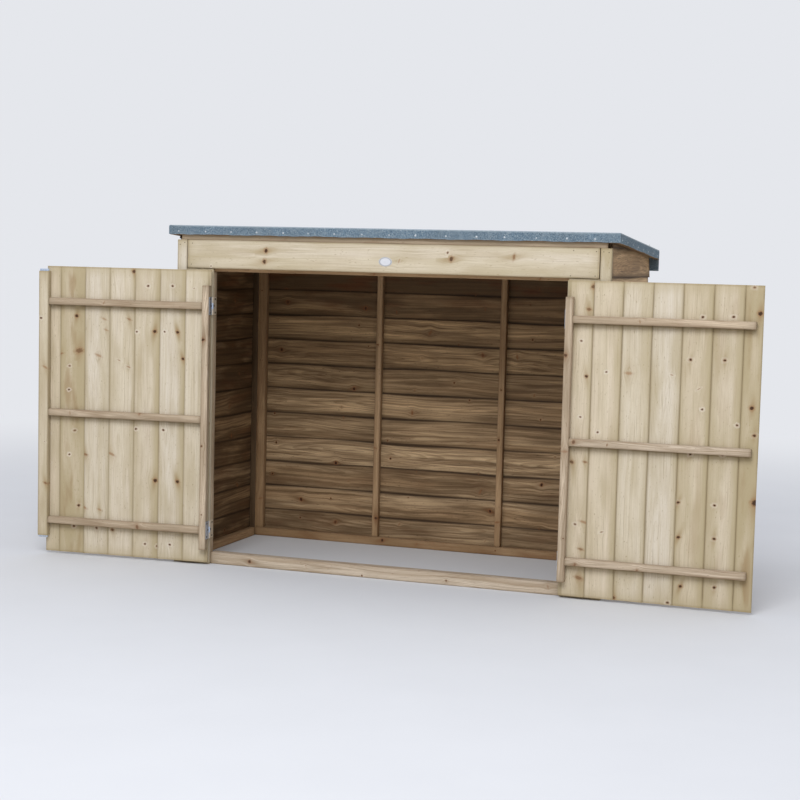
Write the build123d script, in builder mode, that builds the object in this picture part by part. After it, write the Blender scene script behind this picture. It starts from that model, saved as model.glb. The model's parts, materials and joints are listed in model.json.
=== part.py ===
"""Pent timber bike shelter with two side-hung doors, shown wide open.

Millimetres. +X runs along the front to the right, +Y runs to the back, +Z is up.
The origin is on the ground, at the middle of the sill's underside.
"""

import os
from math import cos, radians, sin, tan

from build123d import *

# Planed timber's eased edges
EASED = 2

# Walls
WALL_DEPTH = 815
BATTEN_THICK = 28
BATTEN_WIDE = 38
BACK_BATTEN_WIDE = 28
BACK_BATTEN_X = 297
BOTTOM_RAIL_HEIGHT = 38
BACK_TOP_RAIL_HEIGHT = 40

# Lapped boards: a thick edge over the thin edge of the board before
BOARD_THICK = 8
BOARD_THIN = 4
BOARD_LAP = 12
WALL_EXPOSURE = 116.5
DOOR_EXPOSURE = 117
FIRST_DOOR_BOARD = {"left": 103, "right": 95}

# Front frame
OPENING_WIDTH = 1550
OPENING_TOP = 1275
FASCIA_HEIGHT = 120
FASCIA_THICK = 18
TRIM_WIDE = 46
TRIM_GAP = 3
PANEL_WIDE = 123
JAMB_WIDE = 45
JAMB_DEEP = 28
PANEL_SETBACK = 4
PANEL_THICK = 10
PANEL_TOP_GAP = 2
HEADER_DROP = 13
HEADER_HEIGHT = 45
SILL_HEIGHT = 50
SILL_DEEP = 46
TOP_RAIL_HEIGHT = 47
TOP_RAIL_SETBACK = 2
TOP_RAIL_INSET = 19

# Roof
ROOF_SLOPE = 3.7
SIDE_OVERHANG = 35
FRONT_OVERHANG = 14
BACK_OVERHANG = 30
DECK_THICK = 12
FELT_THICK = 2
FELT_BAND = 41
FELT_FLAP = 91
FRONT_BATTEN_THICK = 12
EDGE_BATTEN_THICK = 22
FELT_FOLD = 1.6

# Doors
HINGE_GAP = 6
MEETING_GAP = 10
DOOR_BOTTOM = 10
DOOR_TOP_GAP = 8
LEDGE_THICK = 26
LEDGE_HEIGHT = 29
LOW_LEDGE_Z = 152
MIDDLE_LEDGE_Z = 629
TOP_LEDGE_DROP = 152
RIGHT_LEDGE_INSET = 24
HINGE_BATTEN_WIDE = 30
HINGE_BATTEN_RISE = 57
HINGE_BATTEN_DROP = 65
STRIP_WIDE = 46
STRIP_OVERHANG = 28
STRIP_REBATE = 6
STRIP_RISE = 71
STRIP_DROP = 22
LEFT_DOOR_SHORT = 4

# Hinges
PIN_FORWARD = 4
PIN_RADIUS = 2.2
PIN_CLEARANCE = 0.05
KNUCKLE_RADIUS = 3.8
KNUCKLE_GAP = 0.4
KNUCKLE_HEIGHT = 25
HINGE_HEIGHT = 76
LEAF_THICK = 2
LEAF_DEEP = 36
LEAF_NOTCH = 4.4

# Bolts
END_PLATE = 2
END_BOLT_RADIUS = 5
END_BOLT_LENGTH = 42
PAD_BOLT_Z = 700
PAD_PLATE_HIGH = 38
PAD_PLATE_LONG = 66
PAD_PLATE_THICK = 2
PAD_EDGE = 8
PAD_ROD_RADIUS = 5
PAD_GUIDE_RADIUS = 8
PAD_GUIDE_LONG = 12
PAD_KNOB_RADIUS = 4
PAD_KNOB_LONG = 22
PAD_CLEARANCE = 1
KEEP_PLATE_LONG = 30

# Worked out
WALL_WIDTH = OPENING_WIDTH + 2 * (PANEL_WIDE + TRIM_WIDE)
ROOF_WIDTH = WALL_WIDTH + 2 * SIDE_OVERHANG
FRONT_Y = -(FASCIA_THICK + SILL_DEEP / 2)
BACK_Y = FRONT_Y + WALL_DEPTH
FRAME_Y = FRONT_Y + FASCIA_THICK
LAPPED_THICK = BOARD_THICK + BOARD_THIN
WALL_INNER_X = WALL_WIDTH / 2 - LAPPED_THICK
BATTEN_INNER_X = WALL_INNER_X - BATTEN_THICK
BACK_INNER_Y = BACK_Y - LAPPED_THICK
BACK_BATTEN_Y = BACK_INNER_Y - BATTEN_THICK
FASCIA_TOP = OPENING_TOP + FASCIA_HEIGHT
FASCIA_LENGTH = WALL_WIDTH - 2 * (TRIM_WIDE + TRIM_GAP)
HEADER_BOTTOM = OPENING_TOP - HEADER_DROP
ROOF_FRONT_Y = FRONT_Y - FRONT_OVERHANG
ROOF_BACK_Y = BACK_Y + BACK_OVERHANG
DECK_WIDTH = ROOF_WIDTH - 2 * FELT_THICK
TOP_RAIL_Y = FRONT_Y + TOP_RAIL_SETBACK
TOP_RAIL_BACK_Y = TOP_RAIL_Y + BATTEN_THICK
ROOF_FALL = tan(radians(ROOF_SLOPE))
ROOF_SQUARE = cos(radians(ROOF_SLOPE))
RAIL_TO_FELT = (TOP_RAIL_Y - ROOF_FRONT_Y) * ROOF_FALL + (FELT_THICK + DECK_THICK) / ROOF_SQUARE
ROOF_HEIGHT = FASCIA_TOP + TOP_RAIL_HEIGHT + RAIL_TO_FELT
DOOR_WIDTH = (OPENING_WIDTH - MEETING_GAP) / 2 - HINGE_GAP
DOOR_TOP = OPENING_TOP - DOOR_TOP_GAP
LEDGE_MIDDLES = (LOW_LEDGE_Z, MIDDLE_LEDGE_Z, DOOR_TOP - TOP_LEDGE_DROP)
HINGE_BATTEN_BOTTOM = DOOR_BOTTOM + HINGE_BATTEN_RISE
HINGE_BATTEN_TOP = DOOR_TOP - HINGE_BATTEN_DROP
STRIP_BOTTOM = DOOR_BOTTOM + STRIP_RISE
STRIP_TOP = DOOR_TOP - STRIP_DROP
PIN_Y = FRONT_Y - PIN_FORWARD
PIN_X = OPENING_WIDTH / 2 - HINGE_GAP / 2
HINGE_EDGE = HINGE_GAP / 2
MEETING_EDGE = HINGE_EDGE + DOOR_WIDTH
DOOR_OUTER = PIN_FORWARD
DOOR_INNER = DOOR_OUTER + LAPPED_THICK
LEDGE_FACE = DOOR_INNER + LEDGE_THICK
STRIP_FAR_EDGE = MEETING_EDGE + STRIP_OVERHANG
STRIP_NEAR_EDGE = STRIP_FAR_EDGE - STRIP_WIDE

os.makedirs("parts", exist_ok=True)


def save(builder, label):
    """Label a finished piece and write its STEP file."""
    builder.part.label = label
    export_step(builder.part, f"parts/{label}.step")


def roof_z(y, depth):
    """Height at y of the surface that lies depth below the felt's top, square to the slope."""
    return ROOF_HEIGHT - (y - ROOF_FRONT_Y) * ROOF_FALL - depth / ROOF_SQUARE


def sloping_plane(y, z):
    """Plane through (y, z) with the roof's fall, facing up."""
    return Plane(origin=(0, y, z), x_dir=(1, 0, 0), z_dir=(0, ROOF_FALL, 1))


def span(low, high, front, back):
    """Rectangle from corner to corner, in the sketch that is open."""
    with Locations(((low + high) / 2, (front + back) / 2)):
        Rectangle(abs(high - low), abs(back - front))


def lapped_section(seams, end):
    """Outline of lapped boards as (along, outward) points, with outward 0 on the battens."""
    starts = [0, *seams]
    stops = [*seams, end]
    outer = []
    inner = []
    for start, stop in zip(starts, stops):
        board = stop - start + BOARD_LAP
        covered = BOARD_LAP if start > 0 else 0
        outer.append((start, LAPPED_THICK))
        outer.append((stop, LAPPED_THICK - BOARD_THICK * (stop - start) / board))
        reach = min(board, end - start)
        inner.append((start + covered, BOARD_THIN * (1 - covered / board)))
        inner.append((start + reach, BOARD_THIN * (1 - reach / board)))
    return outer + inner[::-1]


def seam_places(first, step, end):
    """Starts of the boards after the first one, as far as the end."""
    places = []
    place = first
    while place + BOARD_LAP < end:
        places.append(place)
        place += step
    return places


DECK_UNDERSIDE = sloping_plane(ROOF_FRONT_Y, roof_z(ROOF_FRONT_Y, FELT_THICK + DECK_THICK))
RAIL_UNDERSIDE = sloping_plane(TOP_RAIL_BACK_Y, FASCIA_TOP)
WALL_SEAMS = seam_places(WALL_EXPOSURE, WALL_EXPOSURE, ROOF_HEIGHT)

# Sill, header and the front's boards
with BuildPart() as sill:
    with BuildSketch(Plane.XY):
        Rectangle(OPENING_WIDTH, SILL_DEEP)
    extrude(amount=SILL_HEIGHT)
    fillet(sill.edges().filter_by(Axis.X).group_by(Axis.Z)[-1], EASED)
save(sill, "sill")

with BuildPart() as header_rail:
    with BuildSketch(Plane.XY.offset(HEADER_BOTTOM)):
        span(-BATTEN_INNER_X, BATTEN_INNER_X, FRAME_Y, FRAME_Y + BATTEN_THICK)
    extrude(amount=HEADER_HEIGHT)
save(header_rail, "header_rail")

with BuildPart() as fascia_board:
    with BuildSketch(Plane.XY.offset(OPENING_TOP)):
        span(-FASCIA_LENGTH / 2, FASCIA_LENGTH / 2, FRONT_Y, FRAME_Y)
    extrude(amount=FASCIA_HEIGHT)
    fillet(fascia_board.edges().filter_by(Axis.X).group_by(Axis.Y)[0], EASED)
save(fascia_board, "fascia_board")

with BuildPart() as front_top_rail:
    with BuildSketch(Plane.XY.offset(FASCIA_TOP)):
        reach = WALL_WIDTH / 2 - TOP_RAIL_INSET
        span(-reach, reach, TOP_RAIL_Y, TOP_RAIL_BACK_Y)
    extrude(amount=ROOF_HEIGHT - FASCIA_TOP)
    split(bisect_by=DECK_UNDERSIDE, keep=Keep.BOTTOM)
save(front_top_rail, "front_top_rail")

for side, hand in (("left", -1), ("right", 1)):
    with BuildPart() as jamb_post:
        with BuildSketch(Plane.XY):
            inner = OPENING_WIDTH / 2
            front = FRONT_Y + PANEL_SETBACK + PANEL_THICK
            span(hand * inner, hand * (inner + JAMB_WIDE), front, front + JAMB_DEEP)
        extrude(amount=HEADER_BOTTOM)
        fillet(jamb_post.edges().filter_by(Axis.Z).sort_by(Axis.Y)[-2:], EASED)
    save(jamb_post, f"{side}_jamb_post")

    with BuildPart() as front_panel:
        with BuildSketch(Plane.XY):
            inner = OPENING_WIDTH / 2
            front = FRONT_Y + PANEL_SETBACK
            span(hand * inner, hand * (inner + PANEL_WIDE), front, front + PANEL_THICK)
        extrude(amount=OPENING_TOP - PANEL_TOP_GAP)
    save(front_panel, f"{side}_front_panel")

    with BuildPart() as corner_trim:
        with BuildSketch(Plane.XY):
            outer = WALL_WIDTH / 2
            span(hand * (outer - TRIM_WIDE), hand * outer, FRONT_Y, FRAME_Y)
        extrude(amount=FASCIA_TOP)
        fillet(corner_trim.edges().filter_by(Axis.Z).sort_by(Axis.Y)[:2], EASED)
    save(corner_trim, f"{side}_corner_trim")

# Side walls
for side, hand in (("left", -1), ("right", 1)):
    with BuildPart() as side_cladding:
        with BuildSketch(Plane.XZ.offset(-BACK_Y)):
            boards = lapped_section(WALL_SEAMS, ROOF_HEIGHT)
            Polygon(*[(hand * (WALL_INNER_X + out), up) for up, out in boards])
        extrude(amount=BACK_Y - FRAME_Y)
        split(bisect_by=DECK_UNDERSIDE, keep=Keep.BOTTOM)
    save(side_cladding, f"{side}_side_cladding")

    with BuildPart() as side_battens:
        with BuildSketch(Plane.XY):
            span(hand * BATTEN_INNER_X, hand * WALL_INNER_X, FRAME_Y, FRAME_Y + BATTEN_WIDE)
            span(hand * BATTEN_INNER_X, hand * WALL_INNER_X, BACK_INNER_Y - BATTEN_WIDE, BACK_INNER_Y)
        extrude(amount=ROOF_HEIGHT)
        split(bisect_by=RAIL_UNDERSIDE, keep=Keep.BOTTOM)
        with BuildSketch(Plane.XY.offset(FASCIA_TOP)):
            span(hand * BATTEN_INNER_X, hand * WALL_INNER_X, FRAME_Y, TOP_RAIL_BACK_Y)
        extrude(amount=ROOF_HEIGHT - FASCIA_TOP, mode=Mode.SUBTRACT)
    save(side_battens, f"{side}_side_battens")

    with BuildPart() as side_rails:
        inner = min(hand * BATTEN_INNER_X, hand * WALL_INNER_X)
        with BuildSketch(Plane.YZ.offset(inner)):
            span(FRAME_Y + BATTEN_WIDE, BACK_INNER_Y - BATTEN_WIDE, 0, BOTTOM_RAIL_HEIGHT)
            ends = (TOP_RAIL_BACK_Y, BACK_INNER_Y)
            top = [(y, roof_z(y, FELT_THICK + DECK_THICK)) for y in ends]
            fall = (ends[1] - ends[0]) * ROOF_FALL
            Polygon(*top, (ends[1], FASCIA_TOP - fall), (ends[0], FASCIA_TOP))
        extrude(amount=BATTEN_THICK)
    save(side_rails, f"{side}_side_rails")

# Back wall
BACK_RAIL_BOTTOM = roof_z(BACK_INNER_Y, FELT_THICK + DECK_THICK) - BACK_TOP_RAIL_HEIGHT

with BuildPart() as back_cladding:
    with BuildSketch(Plane.YZ.offset(-WALL_INNER_X)):
        boards = lapped_section(WALL_SEAMS, ROOF_HEIGHT)
        Polygon(*[(BACK_INNER_Y + out, up) for up, out in boards])
    extrude(amount=2 * WALL_INNER_X)
    split(bisect_by=DECK_UNDERSIDE, keep=Keep.BOTTOM)
save(back_cladding, "back_cladding")

with BuildPart() as back_battens:
    with BuildSketch(Plane.XY.offset(BOTTOM_RAIL_HEIGHT)):
        for hand in (-1, 1):
            span(hand * BATTEN_INNER_X, hand * (BATTEN_INNER_X - BATTEN_WIDE), BACK_BATTEN_Y, BACK_INNER_Y)
            with Locations((hand * BACK_BATTEN_X, BACK_INNER_Y - BATTEN_THICK / 2)):
                Rectangle(BACK_BATTEN_WIDE, BATTEN_THICK)
    extrude(amount=BACK_RAIL_BOTTOM - BOTTOM_RAIL_HEIGHT)
save(back_battens, "back_battens")

with BuildPart() as back_rails:
    with BuildSketch(Plane.XY):
        span(-BATTEN_INNER_X, BATTEN_INNER_X, BACK_BATTEN_Y, BACK_INNER_Y)
    extrude(amount=BOTTOM_RAIL_HEIGHT)
    with BuildSketch(Plane.XY.offset(BACK_RAIL_BOTTOM)):
        span(-BATTEN_INNER_X, BATTEN_INNER_X, BACK_BATTEN_Y, BACK_INNER_Y)
    extrude(amount=2 * BACK_TOP_RAIL_HEIGHT)
    split(bisect_by=DECK_UNDERSIDE, keep=Keep.BOTTOM)
save(back_rails, "back_rails")

# Roof
DECK_FRONT_Y = ROOF_FRONT_Y + FELT_THICK
DECK_BACK_Y = ROOF_BACK_Y - FELT_THICK
FRONT_BATTEN_BACK_Y = DECK_FRONT_Y + FRONT_BATTEN_THICK


def roof_strip(front, back, top, bottom):
    """Outline of a layer of the roof between two depths, with upright ends."""
    ends = ((front, top), (back, top), (back, bottom), (front, bottom))
    Polygon(*[(y, roof_z(y, depth)) for y, depth in ends])


with BuildPart() as roof_deck:
    with BuildSketch(Plane.YZ.offset(-DECK_WIDTH / 2)):
        roof_strip(DECK_FRONT_Y, DECK_BACK_Y, FELT_THICK, FELT_THICK + DECK_THICK)
    extrude(amount=DECK_WIDTH)
save(roof_deck, "roof_deck")

with BuildPart() as roof_front_batten:
    with BuildSketch(Plane.YZ.offset(-DECK_WIDTH / 2)):
        roof_strip(DECK_FRONT_Y, FRONT_BATTEN_BACK_Y, FELT_THICK + DECK_THICK, FELT_BAND)
    extrude(amount=DECK_WIDTH)
save(roof_front_batten, "roof_front_batten")

with BuildPart() as roof_side_battens:
    for start in (-DECK_WIDTH / 2, DECK_WIDTH / 2 - EDGE_BATTEN_THICK):
        with BuildSketch(Plane.YZ.offset(start)):
            roof_strip(FRONT_BATTEN_BACK_Y, DECK_BACK_Y, FELT_THICK + DECK_THICK, FELT_BAND)
        extrude(amount=EDGE_BATTEN_THICK)
save(roof_side_battens, "roof_side_battens")

with BuildPart() as roof_felt:
    with BuildSketch(Plane.YZ.offset(-ROOF_WIDTH / 2)):
        roof_strip(ROOF_FRONT_Y, ROOF_BACK_Y, 0, FELT_THICK)
        roof_strip(ROOF_FRONT_Y, DECK_FRONT_Y, 0, FELT_BAND)
    extrude(amount=ROOF_WIDTH)
    for start in (-ROOF_WIDTH / 2, DECK_WIDTH / 2):
        with BuildSketch(Plane.YZ.offset(start)):
            roof_strip(ROOF_FRONT_Y, ROOF_BACK_Y, 0, FELT_BAND)
        extrude(amount=FELT_THICK)
    ridge = roof_felt.edges().filter_by(Axis.X).group_by(Axis.Z)[-1]
    fillet(ridge, FELT_FOLD)
save(roof_felt, "roof_felt")

with BuildPart() as felt_back_flap:
    with BuildSketch(Plane.YZ.offset(-DECK_WIDTH / 2)):
        roof_strip(DECK_BACK_Y, ROOF_BACK_Y, FELT_THICK, FELT_FLAP)
    extrude(amount=DECK_WIDTH)
save(felt_back_flap, "felt_back_flap")


# Doors, laid out from the hinge pin: along the door, and inward from the pin when shut
def door_plane(side, z):
    """Sketch plane of an open door at height z, with its origin on the hinge pin."""
    if side == "left":
        turn = radians(LEFT_DOOR_SHORT)
        return Plane(origin=(-PIN_X, PIN_Y, z), x_dir=(-cos(turn), -sin(turn), 0), z_dir=(0, 0, 1))
    return Plane(origin=(PIN_X, PIN_Y, z), x_dir=(1, 0, 0), z_dir=(0, 0, 1))


def frame_plane(side, z):
    """Sketch plane of the jamb's half of a hinge at height z, with its origin on the pin."""
    hand = -1 if side == "left" else 1
    return Plane(origin=(hand * PIN_X, PIN_Y, z), x_dir=(-hand, 0, 0), z_dir=(0, 0, 1))


HANDS = {"left": 1, "right": -1}


def along_axis(side):
    """Axis along an open door, away from its pin."""
    base = door_plane(side, 0)
    return Axis(base.origin, base.x_dir)


def inward_axis(side):
    """Axis square to an open door, towards the side that faces in when the door is shut."""
    base = door_plane(side, 0)
    return Axis(base.origin, base.y_dir * HANDS[side])


def door_section(side):
    """Outline of a door's lapped boards, on its door plane."""
    seams = seam_places(FIRST_DOOR_BOARD[side], DOOR_EXPOSURE, DOOR_WIDTH)
    section = lapped_section(seams, DOOR_WIDTH)
    return [(HINGE_EDGE + along, HANDS[side] * (DOOR_INNER - out)) for along, out in section]


for side, hand in HANDS.items():
    with BuildPart() as door_boards:
        with BuildSketch(door_plane(side, DOOR_BOTTOM)):
            Polygon(*door_section(side))
        extrude(amount=DOOR_TOP - DOOR_BOTTOM)
    save(door_boards, f"{side}_door_boards")

    with BuildPart() as door_hinge_batten:
        with BuildSketch(door_plane(side, HINGE_BATTEN_BOTTOM)):
            span(HINGE_EDGE, HINGE_EDGE + HINGE_BATTEN_WIDE, hand * DOOR_INNER, hand * LEDGE_FACE)
        extrude(amount=HINGE_BATTEN_TOP - HINGE_BATTEN_BOTTOM)
        fillet(door_hinge_batten.edges().filter_by(Axis.Z).group_by(inward_axis(side))[-1], EASED)
    save(door_hinge_batten, f"{side}_door_hinge_batten")

    with BuildPart() as door_ledges:
        far = STRIP_NEAR_EDGE if side == "left" else MEETING_EDGE - RIGHT_LEDGE_INSET
        for middle in LEDGE_MIDDLES:
            with BuildSketch(door_plane(side, middle - LEDGE_HEIGHT / 2)):
                span(HINGE_EDGE + HINGE_BATTEN_WIDE, far, hand * DOOR_INNER, hand * LEDGE_FACE)
            extrude(amount=LEDGE_HEIGHT)
        fillet(door_ledges.edges().filter_by(along_axis(side)).group_by(inward_axis(side))[-1], EASED)
    save(door_ledges, f"{side}_door_ledges")

# The left door's cover strip is rebated, so that it passes behind the right door's boards
with BuildPart() as left_door_cover_strip:
    with BuildSketch(door_plane("left", STRIP_BOTTOM)):
        span(STRIP_NEAR_EDGE, STRIP_FAR_EDGE, DOOR_INNER + STRIP_REBATE, LEDGE_FACE)
        span(STRIP_NEAR_EDGE, MEETING_EDGE, DOOR_INNER, LEDGE_FACE)
    extrude(amount=STRIP_TOP - STRIP_BOTTOM)
    fillet(left_door_cover_strip.edges().filter_by(Axis.Z).group_by(inward_axis("left"))[-1], EASED)
save(left_door_cover_strip, "left_door_cover_strip")

with BuildPart() as left_door_bolts:
    start = (STRIP_NEAR_EDGE + STRIP_FAR_EDGE - END_BOLT_LENGTH) / 2
    middle = (DOOR_INNER + STRIP_REBATE + LEDGE_FACE) / 2
    base = door_plane("left", 0)
    for seat, way in ((STRIP_BOTTOM, -1), (STRIP_TOP, 1)):
        axis = seat + way * END_BOLT_RADIUS
        centre = base.origin + base.x_dir * start + base.y_dir * middle + base.z_dir * axis
        with BuildSketch(Plane(origin=centre, x_dir=base.y_dir, z_dir=base.x_dir)):
            Circle(END_BOLT_RADIUS)
            with Locations((0, -way * (END_BOLT_RADIUS - END_PLATE / 2))):
                Rectangle(3 * END_BOLT_RADIUS, END_PLATE)
        extrude(amount=END_BOLT_LENGTH)
save(left_door_bolts, "left_door_bolts")

# Hinges: three knuckles each, the middle one on the door
KNUCKLE_FOOTS = (0, HINGE_HEIGHT - KNUCKLE_HEIGHT)
DOOR_KNUCKLE_FOOT = KNUCKLE_HEIGHT + KNUCKLE_GAP
DOOR_KNUCKLE_HEIGHT = HINGE_HEIGHT - 2 * DOOR_KNUCKLE_FOOT
LEAF_NEAR = HINGE_EDGE - LEAF_THICK
HINGE_FOOTS = [middle - HINGE_HEIGHT / 2 for middle in (LEDGE_MIDDLES[0], LEDGE_MIDDLES[-1])]

for side, hand in HANDS.items():
    with BuildPart() as door_leaves:
        for foot in HINGE_FOOTS:
            with BuildSketch(door_plane(side, foot)):
                span(LEAF_NEAR, HINGE_EDGE, hand * LEAF_NOTCH, hand * LEAF_DEEP)
            extrude(amount=HINGE_HEIGHT)
            with BuildSketch(door_plane(side, foot + DOOR_KNUCKLE_FOOT)):
                span(LEAF_NEAR, HINGE_EDGE, 0, hand * LEAF_NOTCH)
                Circle(KNUCKLE_RADIUS)
                Circle(PIN_RADIUS + PIN_CLEARANCE, mode=Mode.SUBTRACT)
            extrude(amount=DOOR_KNUCKLE_HEIGHT)
    save(door_leaves, f"{side}_hinge_door_leaves")

    with BuildPart() as frame_leaves:
        for foot in HINGE_FOOTS:
            with BuildSketch(frame_plane(side, foot)):
                span(-HINGE_EDGE, -LEAF_NEAR, hand * LEAF_NOTCH, hand * LEAF_DEEP)
            extrude(amount=HINGE_HEIGHT)
            for knuckle in KNUCKLE_FOOTS:
                with BuildSketch(frame_plane(side, foot + knuckle)):
                    span(-HINGE_EDGE, -LEAF_NEAR, 0, hand * LEAF_NOTCH)
                    Circle(KNUCKLE_RADIUS)
                extrude(amount=KNUCKLE_HEIGHT)
            with BuildSketch(frame_plane(side, foot)):
                Circle(PIN_RADIUS)
            extrude(amount=HINGE_HEIGHT)
    save(frame_leaves, f"{side}_hinge_frame_leaves")


# Pad bolt and keep, on the doors' outer faces
PLATE_FACE = DOOR_OUTER - PAD_PLATE_THICK
ROD_LINE = PLATE_FACE - PAD_GUIDE_RADIUS


def bolt_plate(side, start, long):
    """Plate whose back is packed out to the slope of the last board, in the sketch that is open."""
    span(start, start + long, HANDS[side] * PLATE_FACE, HANDS[side] * (DOOR_INNER - BOARD_THIN))
    Polygon(*door_section(side), mode=Mode.SUBTRACT)


def rod_plane(side, along):
    """Plane across a door's bolt at a distance along the door, with its origin on the rod's axis."""
    base = door_plane(side, PAD_BOLT_Z)
    centre = base.origin + base.x_dir * along + base.y_dir * (HANDS[side] * ROD_LINE)
    return Plane(origin=centre, x_dir=base.y_dir, z_dir=base.x_dir)


def bolt_guide(side):
    """Round guide with square shoulders down to the plate, in the sketch that is open."""
    Circle(PAD_GUIDE_RADIUS)
    with Locations((HANDS[side] * PAD_GUIDE_RADIUS / 2, 0)):
        Rectangle(PAD_GUIDE_RADIUS, 2 * PAD_GUIDE_RADIUS)


with BuildPart() as right_door_pad_bolt:
    plate_start = MEETING_EDGE - PAD_EDGE - PAD_PLATE_LONG
    with BuildSketch(door_plane("right", PAD_BOLT_Z - PAD_PLATE_HIGH / 2)):
        bolt_plate("right", plate_start, PAD_PLATE_LONG)
    extrude(amount=PAD_PLATE_HIGH)
    with BuildSketch(rod_plane("right", plate_start)):
        Circle(PAD_ROD_RADIUS)
    extrude(amount=PAD_PLATE_LONG)
    for guide_start in (plate_start, plate_start + PAD_PLATE_LONG - PAD_GUIDE_LONG):
        with BuildSketch(rod_plane("right", guide_start)):
            bolt_guide("right")
        extrude(amount=PAD_GUIDE_LONG)
    knob = rod_plane("right", plate_start + PAD_PLATE_LONG / 2)
    with BuildSketch(Plane(origin=knob.origin, x_dir=knob.z_dir, z_dir=(0, 0, -1))):
        Circle(PAD_KNOB_RADIUS)
    extrude(amount=PAD_KNOB_LONG)
save(right_door_pad_bolt, "right_door_pad_bolt")

with BuildPart() as left_door_bolt_keep:
    keep_start = MEETING_EDGE - PAD_EDGE - KEEP_PLATE_LONG
    with BuildSketch(door_plane("left", PAD_BOLT_Z - PAD_PLATE_HIGH / 2)):
        bolt_plate("left", keep_start, KEEP_PLATE_LONG)
    extrude(amount=PAD_PLATE_HIGH)
    with BuildSketch(rod_plane("left", keep_start + (KEEP_PLATE_LONG - PAD_GUIDE_LONG) / 2)):
        bolt_guide("left")
        Circle(PAD_ROD_RADIUS + PAD_CLEARANCE, mode=Mode.SUBTRACT)
    extrude(amount=PAD_GUIDE_LONG)
save(left_door_bolt_keep, "left_door_bolt_keep")
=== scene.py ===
"""Looks of a pent timber bike shelter with two side-hung doors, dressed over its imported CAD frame.

Metres. +X runs along the front to the right, +Y runs to the back, +Z is up.
"""

import json
import random
from functools import partialmethod
from math import ceil, cos, exp, hypot, inf, pi, radians, sin, tan

import bpy
from mathutils import Matrix, Vector


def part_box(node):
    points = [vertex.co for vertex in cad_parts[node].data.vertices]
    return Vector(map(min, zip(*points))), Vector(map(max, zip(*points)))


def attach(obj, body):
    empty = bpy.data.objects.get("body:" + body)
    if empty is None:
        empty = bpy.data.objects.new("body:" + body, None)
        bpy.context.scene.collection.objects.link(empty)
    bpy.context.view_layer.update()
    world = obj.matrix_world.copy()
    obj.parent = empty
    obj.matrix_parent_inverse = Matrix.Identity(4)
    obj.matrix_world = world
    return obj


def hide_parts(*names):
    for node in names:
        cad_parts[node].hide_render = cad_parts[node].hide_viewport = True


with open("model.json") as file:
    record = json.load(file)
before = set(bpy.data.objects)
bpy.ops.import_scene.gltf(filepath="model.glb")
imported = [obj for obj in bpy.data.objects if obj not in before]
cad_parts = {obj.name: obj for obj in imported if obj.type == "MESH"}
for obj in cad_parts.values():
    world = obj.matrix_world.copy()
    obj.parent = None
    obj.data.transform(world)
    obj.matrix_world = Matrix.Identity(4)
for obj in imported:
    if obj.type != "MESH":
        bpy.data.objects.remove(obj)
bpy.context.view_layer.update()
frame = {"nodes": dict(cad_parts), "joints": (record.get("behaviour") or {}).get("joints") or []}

MM = 0.001
X, Y, Z = (Vector(axis) for axis in ((1, 0, 0), (0, 1, 0), (0, 0, 1)))

# Photograph and its camera
PHOTO_SIZE = 800
SENSOR = 36
LENS = 72.81
EYE = Vector((2.2514, -6.307, 1.3215))
YAW = 19.0973
PITCH = 4.8724
ROLL = 1.4281

# Sizes shared with the CAD, in millimetres
BOARD_THICK = 8
BOARD_THIN = 4
BOARD_LAP = 12
WALL_EXPOSURE = 116.5
DOOR_EXPOSURE = 117
FIRST_DOOR_BOARD = {"left": 103, "right": 95}
DOOR_INNER = 16
HINGE_EDGE = 3
ROOF_SLOPE = 3.7
FELT_BAND = 41
DECK_DEPTH = 14
BATTEN_WIDE = 38
BACK_BATTEN_X = 297
BACK_BATTEN_WIDE = 28
LEDGE_MIDDLES = (152, 629, 1115)
LEDGE_HEIGHT = 29

# Knots seen on the open doors, as pixel x, pixel y, radius in millimetres and darkness
LEFT_DOOR_KNOTS = (
    (148, 286, 3.6, 0.9), (172.4, 286, 3.6, 0.85), (194, 288.4, 2.2, 0.5), (136.8, 331.7, 3.2, 0.8),
    (164.5, 331.7, 3.2, 0.85), (154.5, 331.5, 6, 1), (177.5, 332.3, 5.5, 1), (68.9, 389.5, 3.4, 0.75),
    (135.8, 429, 3.6, 0.9), (163.3, 430, 3.6, 1), (69.2, 454.3, 3.2, 0.8), (144.8, 544, 3.6, 1),
    (169.6, 544.8, 3.4, 0.9), (182.6, 358.8, 5, 0.9), (155.1, 480.6, 7, 1), (177.1, 481.8, 6, 1),
    (76.6, 316, 6, 0.8), (129, 319.3, 5, 0.45), (79, 350.6, 11, 0.55), (61.3, 353.5, 5, 0.45),
    (69.5, 365.9, 3.5, 0.6), (49.2, 367.7, 4, 0.6), (98.1, 355.3, 7, 0.35), (119, 360.4, 3.5, 0.4),
    (128.3, 367, 4, 0.45), (133.8, 271.5, 6, 0.7), (74.6, 430.4, 4, 0.6), (111.4, 454, 7, 0.4),
    (48.5, 432.7, 4, 0.5), (48.5, 462, 4, 0.5), (78.4, 505.4, 4.5, 0.85), (84.3, 507.4, 6, 0.4),
    (99.3, 509.7, 5, 0.35), (157.1, 546.3, 4, 0.8), (73.7, 526, 4, 0.9), (96.4, 528, 4, 0.7),
    (112.6, 529.8, 5, 0.6), (104, 319, 6, 0.25), (106, 330, 5, 0.2), (85.5, 454.3, 6, 0.5),
)
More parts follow.
